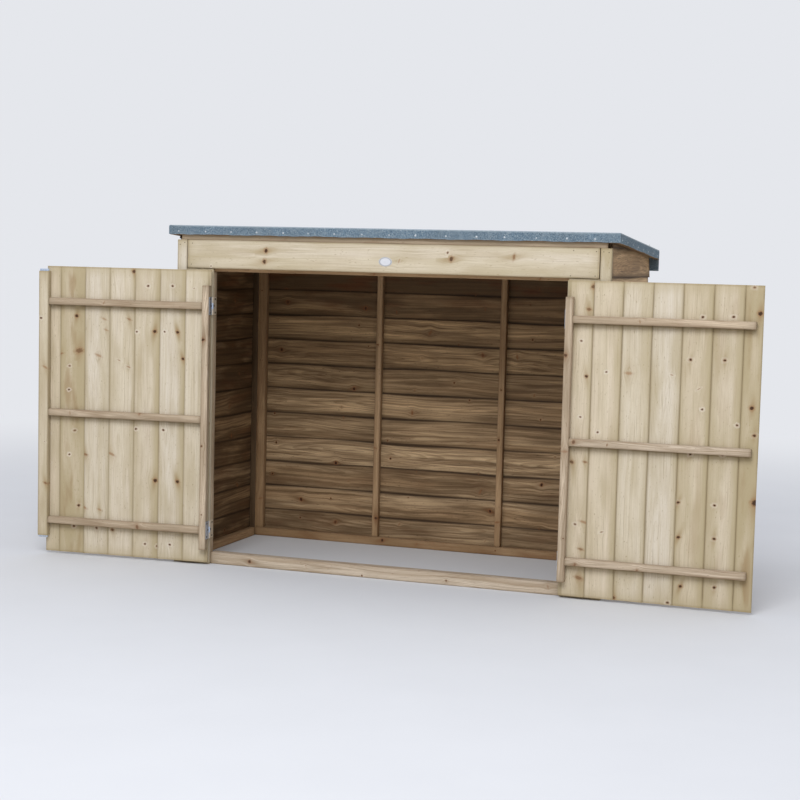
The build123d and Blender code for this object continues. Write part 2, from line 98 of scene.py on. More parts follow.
RIGHT_DOOR_KNOTS = (
    (589, 309.3, 6, 0.55), (593.7, 286.8, 7, 0.6), (754.7, 287.5, 4, 0.6), (760.6, 313.8, 7, 0.9),
    (702.8, 317, 3.8, 0.9), (733.6, 317, 3.8, 0.9), (690.6, 359.8, 4.2, 0.95), (724.7, 360.5, 4.2, 1),
    (581.3, 340.9, 3.4, 0.6), (586.2, 376.2, 5, 0.75), (606.3, 372, 3, 0.75), (628.7, 373.4, 7, 0.35),
    (671.5, 374.9, 3, 0.4), (698.9, 389, 3, 0.4), (702, 409.6, 3.2, 0.7), (737.1, 425.3, 3.6, 0.8),
    (751.8, 408.2, 6.5, 1), (754.3, 435.8, 4.5, 1), (580.1, 417, 3, 0.6), (597.5, 432.3, 3.2, 0.7),
    (690.1, 454.2, 4, 0.9), (722.6, 455.1, 4, 0.9), (571.6, 462, 6, 0.6), (584.9, 462, 5, 0.5),
    (678.1, 502.6, 4.5, 1), (714.3, 505.6, 3.8, 0.9), (755.3, 503, 11, 0.85), (574.9, 524.3, 3.5, 0.6),
    (583.4, 522.1, 7, 0.4), (601.3, 532.1, 3.4, 0.5), (580.8, 549.3, 6, 0.5), (678.1, 537.4, 5, 1),
    (713.8, 539, 4.4, 1), (578.6, 577.9, 9, 0.5), (680.1, 586.4, 5, 1), (714, 587.7, 4.4, 1),
    (613.1, 597.7, 6, 0.6), (667.3, 602.8, 4, 0.7),
)
LEDGE_KNOTS = {
    "left": ((139, 413, 7, 0.5), (137, 527, 8, 0.55), (104, 302.5, 4, 0.4), (70, 413, 4, 0.4)),
    "right": (
        (573.5, 442, 7, 0.6), (607, 445, 4, 0.5), (574.6, 565, 6, 0.5), (636.6, 571.5, 6, 0.5),
        (640, 322, 4, 0.35),
    ),
}
FASCIA_KNOTS = (
    (211, 266, 3, 0.6), (266, 250.8, 8.5, 0.95), (264.3, 261.5, 8.5, 0.7), (447.7, 252.8, 4.5, 0.65),
    (451.3, 259, 9, 0.65), (399, 261, 5, 0.3), (514, 257, 8, 0.5),
)
DOOR_KNOTS = {"left": LEFT_DOOR_KNOTS, "right": RIGHT_DOOR_KNOTS}
KNOT_SPREAD = 1.24

# Nails seen on the front, as pixels
FASCIA_NAILS = (
    (192.5, 243.1), (191.3, 264.1), (573.7, 250.5), (596.5, 251.6), (570.4, 275.8), (595.1, 276.1),
)
FRONT_CLOUTS = (
    178.6, 205.4, 230.9, 256.4, 283, 308, 334, 361.7, 389, 415.3, 445.9, 476.5, 504.6, 536.5, 567, 595.2,
)
PLATE_PIXEL = (385.4, 261.8)
PLATE_SIZE = (58, 38)

# How dark each door board is, from the hinge: 0 palest, 1 darkest
DOOR_SHADES = {
    "left": (0, 0.15, 0.2, 0, 0.08, 1, 0.2),
    "right": (0.2, 0.06, 0, 0.06, 0.4, 0.35, 1.1),
}

# How yellow each door board is, from the hinge
DOOR_HUES = {
    "left": (0.3, 0.1, 0.35, 0.3, 0.15, 0.6, 0.7),
    "right": (0.6, 0.6, 0.25, 0.1, 0.6, 0.5, 0.6),
}

# How dark each door board's edges are, from the hinge: first edge, second edge and width in millimetres.
# The darkening is partly an olive stain and partly painted shade of cupped boards lit from one side.
DOOR_EDGE_SHADES = {
    "left": (
        (0.35, 0, 45), (0.85, 0.05, 45), (0.95, 0.1, 42), (0.6, 0.2, 30), (0.5, 0.05, 35), (0.9, 0.7, 30),
        (0.3, 0.4, 25),
    ),
    "right": (
        (0.3, 0.5, 30), (0.1, 0.7, 40), (0.2, 0.6, 35), (0.2, 0.55, 30), (0.5, 0.95, 42), (0.55, 0.9, 40),
        (0.8, 0.5, 35),
    ),
}

HANDS = {"left": -1, "right": 1}


def box(node):
    """Lowest and highest corner of a CAD node, in millimetres."""
    low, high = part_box(node)
    return low / MM, high / MM


def add(name, data):
    """New object in the scene."""
    thing = bpy.data.objects.new(name, data)
    bpy.context.collection.objects.link(thing)
    return thing


# Camera
turn = Matrix.Rotation(radians(YAW), 4, "Z")
tilt = Matrix.Rotation(radians(90 - PITCH), 4, "X")
roll = Matrix.Rotation(radians(ROLL), 4, "Z")
VIEW = Matrix.Translation(EYE) @ turn @ tilt @ roll

camera_data = bpy.data.cameras.new("camera")
camera_data.lens = LENS
camera_data.sensor_width = SENSOR
camera = add("camera", camera_data)
camera.matrix_world = VIEW
bpy.context.scene.camera = camera
bpy.context.scene.view_settings.view_transform = "Standard"


def photo_point(x, y, origin, normal):
    """Place on a plane that the photograph shows at a pixel."""
    ray = VIEW.to_3x3() @ Vector((x - PHOTO_SIZE / 2, PHOTO_SIZE / 2 - y, -LENS / SENSOR * PHOTO_SIZE))
    return EYE + ray * ((origin - EYE).dot(normal) / ray.dot(normal))


# Materials
SRGB_KNEE = 0.04045


def paint(red, green, blue):
    """Linear colour of an sRGB colour from 0 to 255."""
    levels = (level / 255 for level in (red, green, blue))
    linear = [level / 12.92 if level <= SRGB_KNEE else ((level + 0.055) / 1.055) ** 2.4 for level in levels]
    return (*linear, 1)


class Value:
    """A node's output, whose sums and products are nodes too."""

    def __init__(self, graph, socket):
        self.graph = graph
        self.socket = socket

    def join(self, operation, other):
        return self.graph.math(operation, self, other)

    __add__ = partialmethod(join, "ADD")
    __sub__ = partialmethod(join, "SUBTRACT")
    __mul__ = partialmethod(join, "MULTIPLY")
    __truediv__ = partialmethod(join, "DIVIDE")


class Graph:
    """A node tree, built by short calls that return outputs."""

    def __init__(self, tree):
        self.tree = tree

    def node(self, kind, inputs=(), **settings):
        """New node with its settings, and its inputs in order or by name."""
        node = self.tree.nodes.new(f"ShaderNode{kind}")
        for name, value in settings.items():
            setattr(node, name, value)
        for key, value in inputs.items() if isinstance(inputs, dict) else enumerate(inputs):
            self.feed(node.inputs[key], value)
        return node

    def out(self, kind, inputs=(), output=0, **settings):
        """One output of a new node."""
        return Value(self, self.node(kind, inputs, **settings).outputs[output])

    def feed(self, socket, value):
        """Link an output, or fill in a value, colours from 0 to 255."""
        value = getattr(value, "socket", value)
        if isinstance(value, bpy.types.NodeSocket):
            self.tree.links.new(value, socket)
        else:
            socket.default_value = paint(*value) if socket.type == "RGBA" else value

    def math(self, operation, *values):
        return self.out("Math", values, operation=operation)

    def vector(self, operation, *values, output=0):
        return self.out("VectorMath", values, output, operation=operation)

    def blend(self, factor, first, second, mode="MIX"):
        return self.out("Mix", {0: factor, 6: first, 7: second}, 2, data_type="RGBA", blend_type=mode)

    def lay(self, colour, *layers):
        """Colour with others laid over it, each as thick as its factor says."""
        for factor, layer in layers:
            colour = self.blend(factor, colour, layer)
        return colour

    def noise(self, place, scale, detail=2):
        """Cloudy noise, with one scale or one for each axis."""
        if isinstance(scale, tuple):
            place = self.vector("MULTIPLY", place, scale)
            scale = 1
        return self.out("TexNoise", {"Vector": place, "Scale": scale, "Detail": detail})

    def ramp(self, value, low, high, start=0, stop=1):
        """Smooth step of a value from low to high."""
        return self.out("MapRange", (value, low, high, start, stop), interpolation_type="SMOOTHSTEP")

    def split(self, vector):
        return [Value(self, part) for part in self.node("SeparateXYZ", [vector]).outputs]


class Shader(Graph):
    """A material's nodes."""

    def __init__(self, name):
        self.material = bpy.data.materials.new(name)
        self.material.use_nodes = True
        super().__init__(self.material.node_tree)
        self.surface = self.tree.nodes["Principled BSDF"]

    def attribute(self, name, output="Vector"):
        return self.out("Attribute", (), output, attribute_name=name)

    def place(self):
        return self.out("TexCoord", (), "Object")

    def cells(self, place, scale):
        """Small cells: a level for each one, and the distance from its middle."""
        cells = self.node("TexVoronoi", {"Vector": place, "Scale": scale}).outputs
        return self.out("SeparateColor", [cells["Color"]]), cells["Distance"]

    def finish(self, colour, roughness, relief, depth, strength, **surface):
        """Material with its colour, roughness and relief."""
        bump = self.out("Bump", {"Height": relief, "Distance": depth * MM, "Strength": strength})
        inputs = {"Base_Color": colour, "Roughness": roughness, "Normal": bump, **surface}
        for name, value in inputs.items():
            self.feed(self.surface.inputs[name.replace("_", " ")], value)
        return self.material


# What the wood is drawn with, in metres
RING_WIDE = 0.0052
KNOT_LEAST = 0.0005
KNOT_REAL = 0.0006
KNOT_LARGE = (0.0035, 0.0065)
SEAM_WIDE = 0.008
END_WANE = 0.055
END_STAIN = (0.0005, 0.012)

# What turns the pale ground into that of the yellowest boards
WARM = (255, 245, 230)


def wood(name, *colours, figure=1.0, zoning=0.4, sawn=0.0, seams=0.35, halo=0.0):
    """Softwood: growth rings round a pith, flowing round knots, with bands, fibres and dark edges.

    Its colours are the pale ground, late wood, bands, edges, stains, knots and rust.
    """
    pale, late, band, wane, stain, knot, rust = colours
    shader = Shader(name)
    math = shader.math
    ramp = shader.ramp
    noise = shader.noise
    blend = shader.blend
    grain = shader.attribute("wood_grain")
    along, across, deep = shader.split(grain)
    shade, hue, pith = shader.split(shader.attribute("wood_tone"))
    low_rim, high_rim, end_rim = shader.split(shader.attribute("wood_rim"))
    low_wane, high_wane, wane_width = shader.split(shader.attribute("wood_wane"))
    ahead, aside, size = shader.split(shader.attribute("wood_knot"))
    dark = shader.attribute("wood_knot", "Alpha")
    safe_size = math("MAXIMUM", size, KNOT_LEAST)

    def round_knot(long, wide, lean=0):
        """Soft oval patch round the nearest knot, so many knot sizes long and wide."""
        far = ahead / (safe_size * long)
        out = (ahead * pith * lean + aside) / (safe_size * wide)
        return math("EXPONENT", (far * far + out * out) * -1)

    # Fibres part round a knot and close again beyond it
    push = size * 1.6 * round_knot(3.6, 6) * math("TANH", aside / safe_size)
    sway = (noise(grain, (1.3, 4, 4), 1) - 0.5) * (0.05 * figure)
    ripple = (noise(grain, (8, 22, 22)) - 0.5) * 0.008
    line = across - push + sway + ripple + pith * 0.035

    # Growth rings
    depth = deep + noise(grain, (0.9, 0, 0), 1) * 0.11 - 0.022
    ring = math("SQRT", line * line + depth * depth)
    phase = math("FRACT", ring / RING_WIDE)
    late_wood = ramp(phase, 0.25, 0.85) * ramp(phase, 0.9, 1, 1, 0)

    # Zones, bands and streaks that follow the rings, and fibres
    flow = shader.out("CombineXYZ", (along, line, depth))
    zones = noise(flow, (0.6, 17, 9))
    bands = noise(flow, (1.1, 48, 30))
    flames = noise(flow, (1.9, 110, 70))
    streaks = noise(flow, (3, 240, 140))
    fibres = noise(flow, (40, 1500, 1500))
    mottle = noise(grain, (3.2, 14, 14), 3)
    specks = noise(grain, (70, 260, 260), 1)
    patches = noise(grain, (4.2, 20, 20), 3)
    brown = blend(0.5, stain, rust)
    colour = shader.lay(
        blend(hue, pale, blend(1, pale, WARM, "MULTIPLY")),
        (ramp(zones, 0.42, 0.62, 0, zoning), band),
        (late_wood * min(0.35 * figure, 0.7), late),
        (ramp(bands, 0.44, 0.7, 0, min(0.5 * figure, 0.9)), late),
        (ramp(flames, 0.46, 0.7, 0, min(0.4 * figure, 0.8)), late),
        (ramp(streaks, 0.52, 0.74, 0, min(0.42 * figure, 0.7)), stain),
        (ramp(mottle, 0.44, 0.72, 0, 0.35 if sawn else 0.55), wane),
        (shade * ramp(mottle, 0.34, 0.62, 0.5, 0.95), wane),
        (shade * ramp(patches, 0.48, 0.66, 0, 0.5), brown),
        (ramp(fibres, 0.3, 0.8, 0, 0.18), stain),
        (ramp(specks, 0.69, 0.76, 0, 0.6), stain),
    )

    # Sappy edges (on the door boards partly painted shade), seams, end grain,
    # and painted shade with dirt: lines under the door ledges and a darkening of the walls' inner faces
    ragged = noise(grain, (5, 40, 40), 3) * 0.03 - 0.015
    olive = blend(0.3, stain, knot)
    # How strongly the painted shade with dirt shows: cloudy, and streaky along the bands in sawn wood
    shade_and_dirt_share = ramp(mottle, 0.2, 0.6, 0.55, 0.9)
    if sawn:
        streaked = ramp(bands, 0.42, 0.6, 0, 0.5) + ramp(flames, 0.42, 0.6, 0, 0.55)
        shade_and_dirt_share = ramp(mottle, 0.2, 0.6, 0.2, 0.35) + streaked
    colour = shader.lay(
        colour,
        # Darker board edges: a sappy stain, on the door boards partly painted shade
        (ramp((low_rim + ragged) / wane_width, 0.05, 1, 1, 0) * low_wane, wane),
        (ramp((high_rim + ragged) / wane_width, 0.05, 1, 1, 0) * high_wane, wane),
        (ramp(math("MINIMUM", low_rim, high_rim), 0, SEAM_WIDE, seams, 0), olive),
        (ramp(end_rim + ragged, 0, END_WANE, 0.5, 0), wane),
        (ramp(end_rim, *END_STAIN, 0.42, 0), stain),
        (shader.attribute("wood_damp", "Fac") * shade_and_dirt_share, olive),
    )

    # Knots: a dark heart in a rusty rim, or a faint sweep, with a stain drawn out along the grain
    lean = pith * ramp(dark, 0.4, 0.65, 0.6, 0.1)
    squat = (aside * lean + ahead) * ramp(dark, 0.4, 0.65, 1.7, 1.1)
    broad = aside * ramp(dark, 0.4, 0.65, 0.6, 0.9)
    wobble = noise(grain, 140) * 1.1 + 0.45
    out = math("SQRT", squat * squat + broad * broad) / safe_size * wobble
    sound = ramp(dark, 0.2, 0.85, 0.35, 1) * math("GREATER_THAN", size, KNOT_REAL)
    heart = blend(math("FRACT", out * 2.6), knot, blend(0.25, knot, rust))
    body = ramp(out, 0.6, 1.15, 1, 0)
    smear = ramp(mottle, 0.3, 0.6, 0.4, 1) * ramp(size, *KNOT_LARGE) * sound
    colour = shader.lay(
        colour,
        (round_knot(9, 2, 0.3) * smear, wane),
        (round_knot(4.5, 1.4, 0.4) * smear * 0.7, brown),
        (ramp(out, 1.6, 3.4, halo, 0) * ramp(size, *KNOT_LARGE, 1, 0) * sound, pale),
        (ramp(out, 0.8, 2.1, 0.6, 0) * sound, rust),
        (body * sound, blend(ramp(dark, 0.3, 0.7), rust, heart)),
    )

    height = fibres * 0.5 + late_wood * 0.25 - body * 0.5
    if sawn:
        height = height + noise(grain, (420, 12, 12)) * sawn
    roughness = ramp(fibres, 0.2, 0.9, 0.58, 0.76)
    return shader.finish(colour, roughness, height, 0.5, 0.6, Specular_IOR_Level=0.25)


def felt_material():
    """Mineral felt: stone granules in bitumen, paler along its folds and edges, by wear and a painted
    highlight.
    """
    shader = Shader("mineral_felt")
    ramp = shader.ramp
    place = shader.place()
    each, distance = shader.cells(place, 620)
    colour = shader.lay(
        shader.blend(ramp(each, 0.1, 0.9), (78, 100, 120), (126, 150, 170)),
        (ramp(each, 0.86, 0.95, 0, 0.7), (192, 202, 208)),
        (ramp(shader.noise(place, 7, 4), 0.35, 0.75, 0, 0.35), (96, 110, 120)),
        (ramp(shader.noise(place, 45, 3), 0.5, 0.75, 0, 0.3), (150, 166, 178)),
        # Paler folds and edges: wear and a painted highlight
        (shader.attribute("felt_wear_and_sheen", "Fac") * 0.7, (198, 209, 218)),
    )
    return shader.finish(colour, 0.88, distance, 0.8, 0.7, Specular_IOR_Level=0.3)


def metal(name, bright, dull, rough, metallic=0.6):
    """Plated steel: faint spangle, dull patches and fine rubbed marks."""
    shader = Shader(name)
    place = shader.place()
    patches = shader.noise(place, 90, 4)
    spangle = shader.ramp(shader.cells(place, 420)[0], 0, 1, 0, 0.4)
    colour = shader.lay(bright, (spangle, dull), (shader.ramp(patches, 0.45, 0.8, 0, 0.7), dull))
    roughness = shader.ramp(patches, 0.3, 0.8, rough, rough + 0.2)
    return shader.finish(colour, roughness, shader.noise(place, 900), 0.05, 0.5, Metallic=metallic)


FRONT_WOOD = wood(
    "front_wood", (228, 222, 211), (207, 196, 173), (218, 209, 185), (186, 173, 142), (150, 131, 94),
    (50, 32, 23), (158, 116, 78), figure=0.85, seams=0.5, halo=0.7,
)
LEDGE_WOOD = wood(
    "ledge_wood", (224, 212, 196), (172, 153, 131), (202, 188, 168), (168, 153, 132), (126, 104, 80),
    (66, 44, 30), (150, 112, 82), figure=1.5,
)
WALL_WOOD = wood(
    "wall_wood", (232, 203, 164), (158, 127, 93), (196, 163, 124), (106, 83, 57), (60, 42, 26),
    (27, 17, 10), (140, 86, 50), figure=1.3, zoning=0.8, sawn=0.8, seams=0.85,
)
POST_WOOD = wood(
    "post_wood", (206, 178, 146), (162, 132, 100), (188, 156, 120), (146, 118, 86), (104, 80, 56),
    (44, 28, 18), (140, 92, 60), figure=1.2, sawn=0.5,
)
DECK_WOOD = wood(
    "deck_wood", (172, 146, 112), (140, 112, 80), (152, 122, 86), (122, 98, 68), (98, 74, 50),
    (44, 29, 18), (132, 84, 54), sawn=0.6,
)
FELT = felt_material()
ZINC = metal("zinc", (214, 226, 244), (156, 174, 198), 0.3, metallic=0.85)
# The frame leaves' zinc is tinted tan: a painted reflection of the wood round them
TAN_ZINC = metal("tan_zinc", (212, 200, 184), (170, 156, 138), 0.42, metallic=0.35)
NAIL_ZINC = metal("nail_zinc", (206, 214, 222), (150, 160, 170), 0.45)
NAIL_STEEL = metal("nail_steel", (128, 116, 100), (84, 72, 60), 0.5)
SCREW_BLACK = metal("screw_black", (24, 22, 22), (12, 11, 11), 0.6, metallic=0.2)


# Meshes
SHARP_ANGLE = 28


def new_mesh(name, points, faces):
    mesh = bpy.data.meshes.new(name)
    mesh.from_pydata(points, [], faces)
    return mesh


def ring_faces(rings, sides, start=0):
    """Faces between closed rings of points, and one over the last ring."""
    top = start + (rings - 1) * sides
    faces = []
    for low in range(start, top, sides):
        for side in range(sides):
            beside = (side + 1) % sides
            faces.append([low + side, low + beside, low + sides + beside, low + sides + side])
    return [*faces, list(range(top, top + sides))]


def border_spots(columns, rows):
    """Rows and columns along a sheet's four sides, each side from corner to corner."""
    return (
        [(0, column) for column in range(columns + 1)],
        [(row, columns) for row in range(rows + 1)],
        [(rows, column) for column in range(columns, -1, -1)],
        [(row, 0) for row in range(rows, -1, -1)],
    )


def grid_faces(columns, rows):
    """Faces of a sheet of points, so many faces wide and long."""
    wide = columns + 1
    corners = [row * wide + column for row in range(rows) for column in range(columns)]
    return [[corner, corner + 1, corner + wide + 1, corner + wide] for corner in corners]


def dress(name, mesh, body, material, slot, *nodes):
    """Object from a mesh that rides on a body, with its material, and stands for CAD nodes. The slot is not
    used.
    """
    mesh.materials.append(material)
    mesh.shade_smooth()
    mesh.set_sharp_from_angle(angle=radians(SHARP_ANGLE))
    piece = add(name, mesh)
    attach(piece, body)
    if nodes:
        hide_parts(*nodes)


# Timber, in millimetres
FACE_WIDE = 18
FACE_LONG = 26
ROUNDED = 0.293
KNOT_EVERY = 330
KNOT_MARGIN = 6
KNOT_RADII = (2.5, 3.5, 4.5, 7)
# Painted shadow with dirt under each door ledge: its darkness by millimetres below the ledge's foot
SHADOW_AND_DIRT_FADE = ((-3, 0), (-2, 1), (5, 0.9), (11, 0.35), (24, 0))
WOOD_LAYERS = {
    "wood_grain": ("FLOAT_VECTOR", "CORNER"), "wood_rim": ("FLOAT_VECTOR", "CORNER"),
    "wood_knot": ("FLOAT_COLOR", "CORNER"), "wood_tone": ("FLOAT_VECTOR", "FACE"),
    "wood_wane": ("FLOAT_VECTOR", "FACE"), "wood_damp": ("FLOAT", "POINT"),
}


def eased_outline(corners, ease, across):
    """Points round a board's end: corners eased, long sides cut into steps."""
    points = []
    for index, corner in enumerate(corners):
        after = corners[(index + 1) % len(corners)]
        side = after - corner
        to_last = (corners[index - 1] - corner).normalized() * ease
        to_next = side.normalized() * ease
        points += [corner + to_last, corner + (to_last + to_next) * ROUNDED, corner + to_next]
        steps = ceil(side.length / across)
        points += [(corner + to_next).lerp(after - to_next, step / steps) for step in range(1, steps)]
    return points


class Timber:
    """Boards gathered into one mesh, with what the wood material reads at the corners of their faces."""

    def __init__(self, seed):
        self.points = []
        self.faces = []
        self.layers = {layer: [] for layer in WOOD_LAYERS}
        self.random = random.Random(seed)

    def note(self, layer, *values):
        self.layers[layer].extend(values)

    def some_knots(self, length, low, high):
        """Knots scattered over a board, as places along and across, radius and kind."""
        rows = []
        draw = self.random.uniform
        count = max(1, round(length / (KNOT_EVERY * MM)))
        margin = KNOT_MARGIN * MM
        for number in range(count):
            along = (number + draw(0.15, 0.85)) * length / count
            roomy = high - low > 20 * MM
            across = draw(low + margin, high - margin) if roomy else (low + high) / 2
            radius = self.random.choice(KNOT_RADII) * MM
            rows.append((along, across, radius, draw(0, 1)))
        return rows

    def board(
        self, place, length, corners, shade=None, hue=None, knots=None, ease=0.8, wave=0.4, wane=(0, 0, 20),
        lap=0, limit=None, damp=(), damp_end=inf, inner=0, outer=1,
    ):
        """One board: a section in millimetres swept along its grain, wavering a little.

        Painted shadow with dirt darkens its lower face in lines below the marks, as far across as the given
        end;
        inner darkens all that face, as painted shade with dirt. Its shade is taken times outer on the upper
        face.
        """
        draw = self.random.uniform
        low_wave, high_wave = wave if isinstance(wave, tuple) else (wave, wave)
        corners = [Vector(corner) * MM for corner in corners]
        low = min(corner.x for corner in corners)
        high = max(corner.x for corner in corners)
        middle = sum(corners, Vector((0, 0))) / len(corners)
        if knots is None:
            knots = self.some_knots(length, low, high)
        ease *= MM
        lap *= MM
        outline = eased_outline(corners, ease, FACE_WIDE * MM)
        steps = max(2, ceil(length / (FACE_LONG * MM)))
        inside = [ease + (length - 2 * ease) * step / steps for step in range(steps + 1)]
        # Extra stations where the painted shadow under each ledge fades
        inside = sorted(inside + [(mark - drop) * MM for mark in damp for drop, _ in SHADOW_AND_DIRT_FADE])
        stations = [(0, ease), *((station, 0) for station in inside), (length, ease)]
        waves = []
        for _ in range(9):
            waves.append((draw(0.2, 1), draw(3, 14), draw(0, 2 * pi)))

        def waver(which, along):
            own = waves[3 * which:3 * which + 3]
            return sum(size * sin(rate * along + start) for size, rate, start in own) * MM / 1.8

        def shadow_and_dirt(along):
            """How much painted shadow with dirt a place takes from the nearest mark above it, else inner.
            """
            for mark in damp:
                for (drop, level), (next_drop, next_level) in zip(SHADOW_AND_DIRT_FADE, SHADOW_AND_DIRT_FADE[1:]):
                    share = (mark - along / MM - drop) / (next_drop - drop)
                    if -0.01 <= share <= 1.01:
                        return level + (next_level - level) * share
            return inner

        first = len(self.points)
        local = []
        for station, shrink in stations:
            for point in outline:
                share = (point.x - low) / (high - low)
                inset = (middle - point).normalized() * shrink
                sway = waver(0, station) * low_wave * (1 - share) + waver(1, station) * high_wave * share
                deep = point.y + inset.y + waver(2, station) * 0.4 * low_wave
                world = place @ Vector((station, point.x + inset.x + sway, deep))
                world.z = max(world.z, 0)
                if limit:
                    limit(world)
                self.points.append(world)
                under = point.y < middle.y and point.x < damp_end * MM
                self.note("wood_damp", shadow_and_dirt(station) if under else 0)
                local.append((station, point.x, point.y))

        rows = ring_faces(len(stations), len(outline))
        rows.insert(-1, list(range(len(outline)))[::-1])
        if place.to_3x3().determinant() < 0:
            rows = [row[::-1] for row in rows]

        start = draw(0, 40)
        shade = draw(0, 0.75) if shade is None else shade
        hue = draw(0.1, 0.9) if hue is None else hue
        pith = draw(-1, 1)
        for row in rows:
            self.faces.append([first + index for index in row])
            self.note("wood_wane", wane[0], wane[1], wane[2] * MM)
            centre = sum((Vector(local[index]) for index in row), Vector((0, 0, 0))) / len(row)
            self.note("wood_tone", shade * (1 if centre.z < middle.y else outer), hue, pith)
            near = (0, 0, 0, 0)
            if knots:
                near = min(knots, key=lambda knot: hypot((knot[0] - centre.x) * 0.6, knot[1] - centre.y))
            for index in row:
                along, across, deep = local[index]
                inner_lap = lap if deep < middle.y else 0
                rim = across - low - inner_lap, high - across - lap + inner_lap, min(along, length - along)
                self.note("wood_grain", along + start, across - middle.x, deep - middle.y)
                self.note("wood_rim", *rim)
                self.note("wood_knot", along - near[0], across - near[1], *near[2:])

    def piece(self, name, node, look, body="shed"):
        """The boards as one object that stands for a CAD node."""
        mesh = new_mesh(name, self.points, self.faces)
        for layer, values in self.layers.items():
            data = mesh.attributes.new(layer, *WOOD_LAYERS[layer]).data
            data.foreach_set({"wood_damp": "value", "wood_knot": "color"}.get(layer, "vector"), values)
        dress(name, mesh, body, *look, node)


def plank(timber, base, low, high, grain, cut=0, **finish):
    """Timber between corners in a base's millimetres, its grain along one axis, one edge cut off."""
    low = Vector(low)
    high = Vector(high)
    size = high - low
    wide, thick = sorted({0, 1, 2} - {grain}, key=lambda axis: -size[axis])
    middle = (low + high) / 2
    middle[grain] = low[grain]
    axes = Matrix.Identity(3)
    place = Matrix([axes[grain], axes[wide], axes[thick]]).transposed().to_4x4()
    place = base @ Matrix.Translation(middle * MM) @ place
    half_wide = size[wide] / 2
    half_thick = size[thick] / 2
    corners = [(-half_wide, -half_thick), (half_wide - cut, -half_thick)]
    if cut:
        corners.append((half_wide, cut - half_thick))
    corners += [(half_wide, half_thick), (-half_wide, half_thick)]
    if finish.get("knots"):
        flat = place.inverted() @ base
        moved = [(flat @ Vector(spot), radius, kind) for spot, radius, kind in finish["knots"]]
        finish["knots"] = [(spot.x, spot.y, radius, kind) for spot, radius, kind in moved]
    timber.board(place, size[grain] * MM, corners, **finish)


def slats(low, high, axis, starts, wide):
    """Corners of the parts of a box from each start along an axis, so wide."""
    parts = []
    for start in starts:
        first = Vector(low)
        last = Vector(high)
        first[axis] = start
        last[axis] = start + wide
        parts.append((first, last))
    return parts


def axes_base(origin, first, second, third):
    """Matrix of three axes from an origin in millimetres."""
    base = Matrix([first, second, third]).transposed().to_4x4()
    base.translation = Vector(origin) * MM
    return base


SHED = Matrix.Identity(4)
ROOF_LOW, ROOF_HIGH = box("roof_felt")
FALL = tan(radians(ROOF_SLOPE))
ROOF = axes_base((0, ROOF_LOW.y, ROOF_HIGH.z), X, Y - Z * FALL, Z)
ROOF_DEEP = ROOF_HIGH.y - ROOF_LOW.y


def below_roof(depth):
    """Limit that keeps a point under a layer of the roof."""
    def limit(point):
        point.z = min(point.z, (ROOF @ Vector((0, point.y - ROOF_LOW.y * MM, -depth * MM))).z)
    return limit


UNDER_DECK = below_roof(DECK_DEPTH)


def bars(seed, name, node, look, *rows, base=SHED, body="shed", **finish):
    """Piece of planks, each between two corners and with what is its own."""
    timber = Timber(seed)
    for low, high, *own in rows:
        plank(timber, low=low, high=high, **{"base": base, **finish, **dict(*own)})
    timber.piece(name, node, look, body)


def lapped_boards(timber, base, seams, end, length, shades, hues=None, edge_shades=None, knots=None, **finish):
    """Feather-edge boards across a base's second axis, each lying over the thin edge of the one before."""
    for number, (start, stop) in enumerate(zip([0, *seams], [*seams, end])):
        board = stop - start + BOARD_LAP
        reach = min(board, end - start)
        slope = BOARD_THIN / board
        corners = [
            (start, BOARD_THICK + BOARD_THIN),
            (start, BOARD_THIN),
            (start + reach, BOARD_THIN - slope * reach),
            (start + reach, BOARD_THICK + BOARD_THIN - 2 * slope * reach),
        ]
        held = None
        if knots is not None:
            shown = start + BOARD_LAP if start else 0
            held = [knot for knot in knots if shown * MM <= knot[1] < (start + reach) * MM]
        draw = timber.random.uniform
        wane = (draw(0.2, 0.8), draw(0, 0.6), draw(20, 50))
        hue = hues and hues[number]
        wane = edge_shades[number] if edge_shades else wane
        own = dict(shade=shades[number], hue=hue, knots=held, wane=wane, lap=BOARD_LAP)
        timber.board(base, length * MM, corners, **own, **finish)


def seam_places(first, step, end):
    """Starts of the boards after the first one, as far as the end."""
    places = [first + step * number for number in range(ceil((end - first) / step))]
    return [place for place in places if place + BOARD_LAP < end]


# Doors
JOINTS = {joint["name"]: joint for joint in frame["joints"]}
FRONT_LOOK = (FRONT_WOOD, "front_wood")
LEDGE_LOOK = (LEDGE_WOOD, "front_wood")


def door_base(side):
    """Axes of an open door: up, along from the pin, and outward from the face its ledges lie on."""
    joint = JOINTS[f"{side}_door_hinge"]
    short = radians(-joint["range_deg"][0])
    along = Vector((HANDS[side] * cos(short), -sin(short), 0))
    inward = Vector((-HANDS[side] * sin(short), -cos(short), 0))
    return axes_base(Vector(joint["pos_m"]) / MM + inward * DOOR_INNER, Z, along, -inward)


def local_box(node, base):
    """Corners of a CAD node along a base's axes, in millimetres."""
    back = base.inverted()
    spots = [back @ vertex.co / MM for vertex in frame["nodes"][node].data.vertices]
    low = Vector([min(spot[axis] for spot in spots) for axis in range(3)])
    high = Vector([max(spot[axis] for spot in spots) for axis in range(3)])
    return low, high


def knots_seen(pixels, base, origin, facing):
    """Places in a base, radii and kinds of knots at pixels, on a plane through an origin."""
    back = base.inverted()
    return [(back @ photo_point(x, y, origin, facing), size * MM, dark) for x, y, size, dark in pixels]


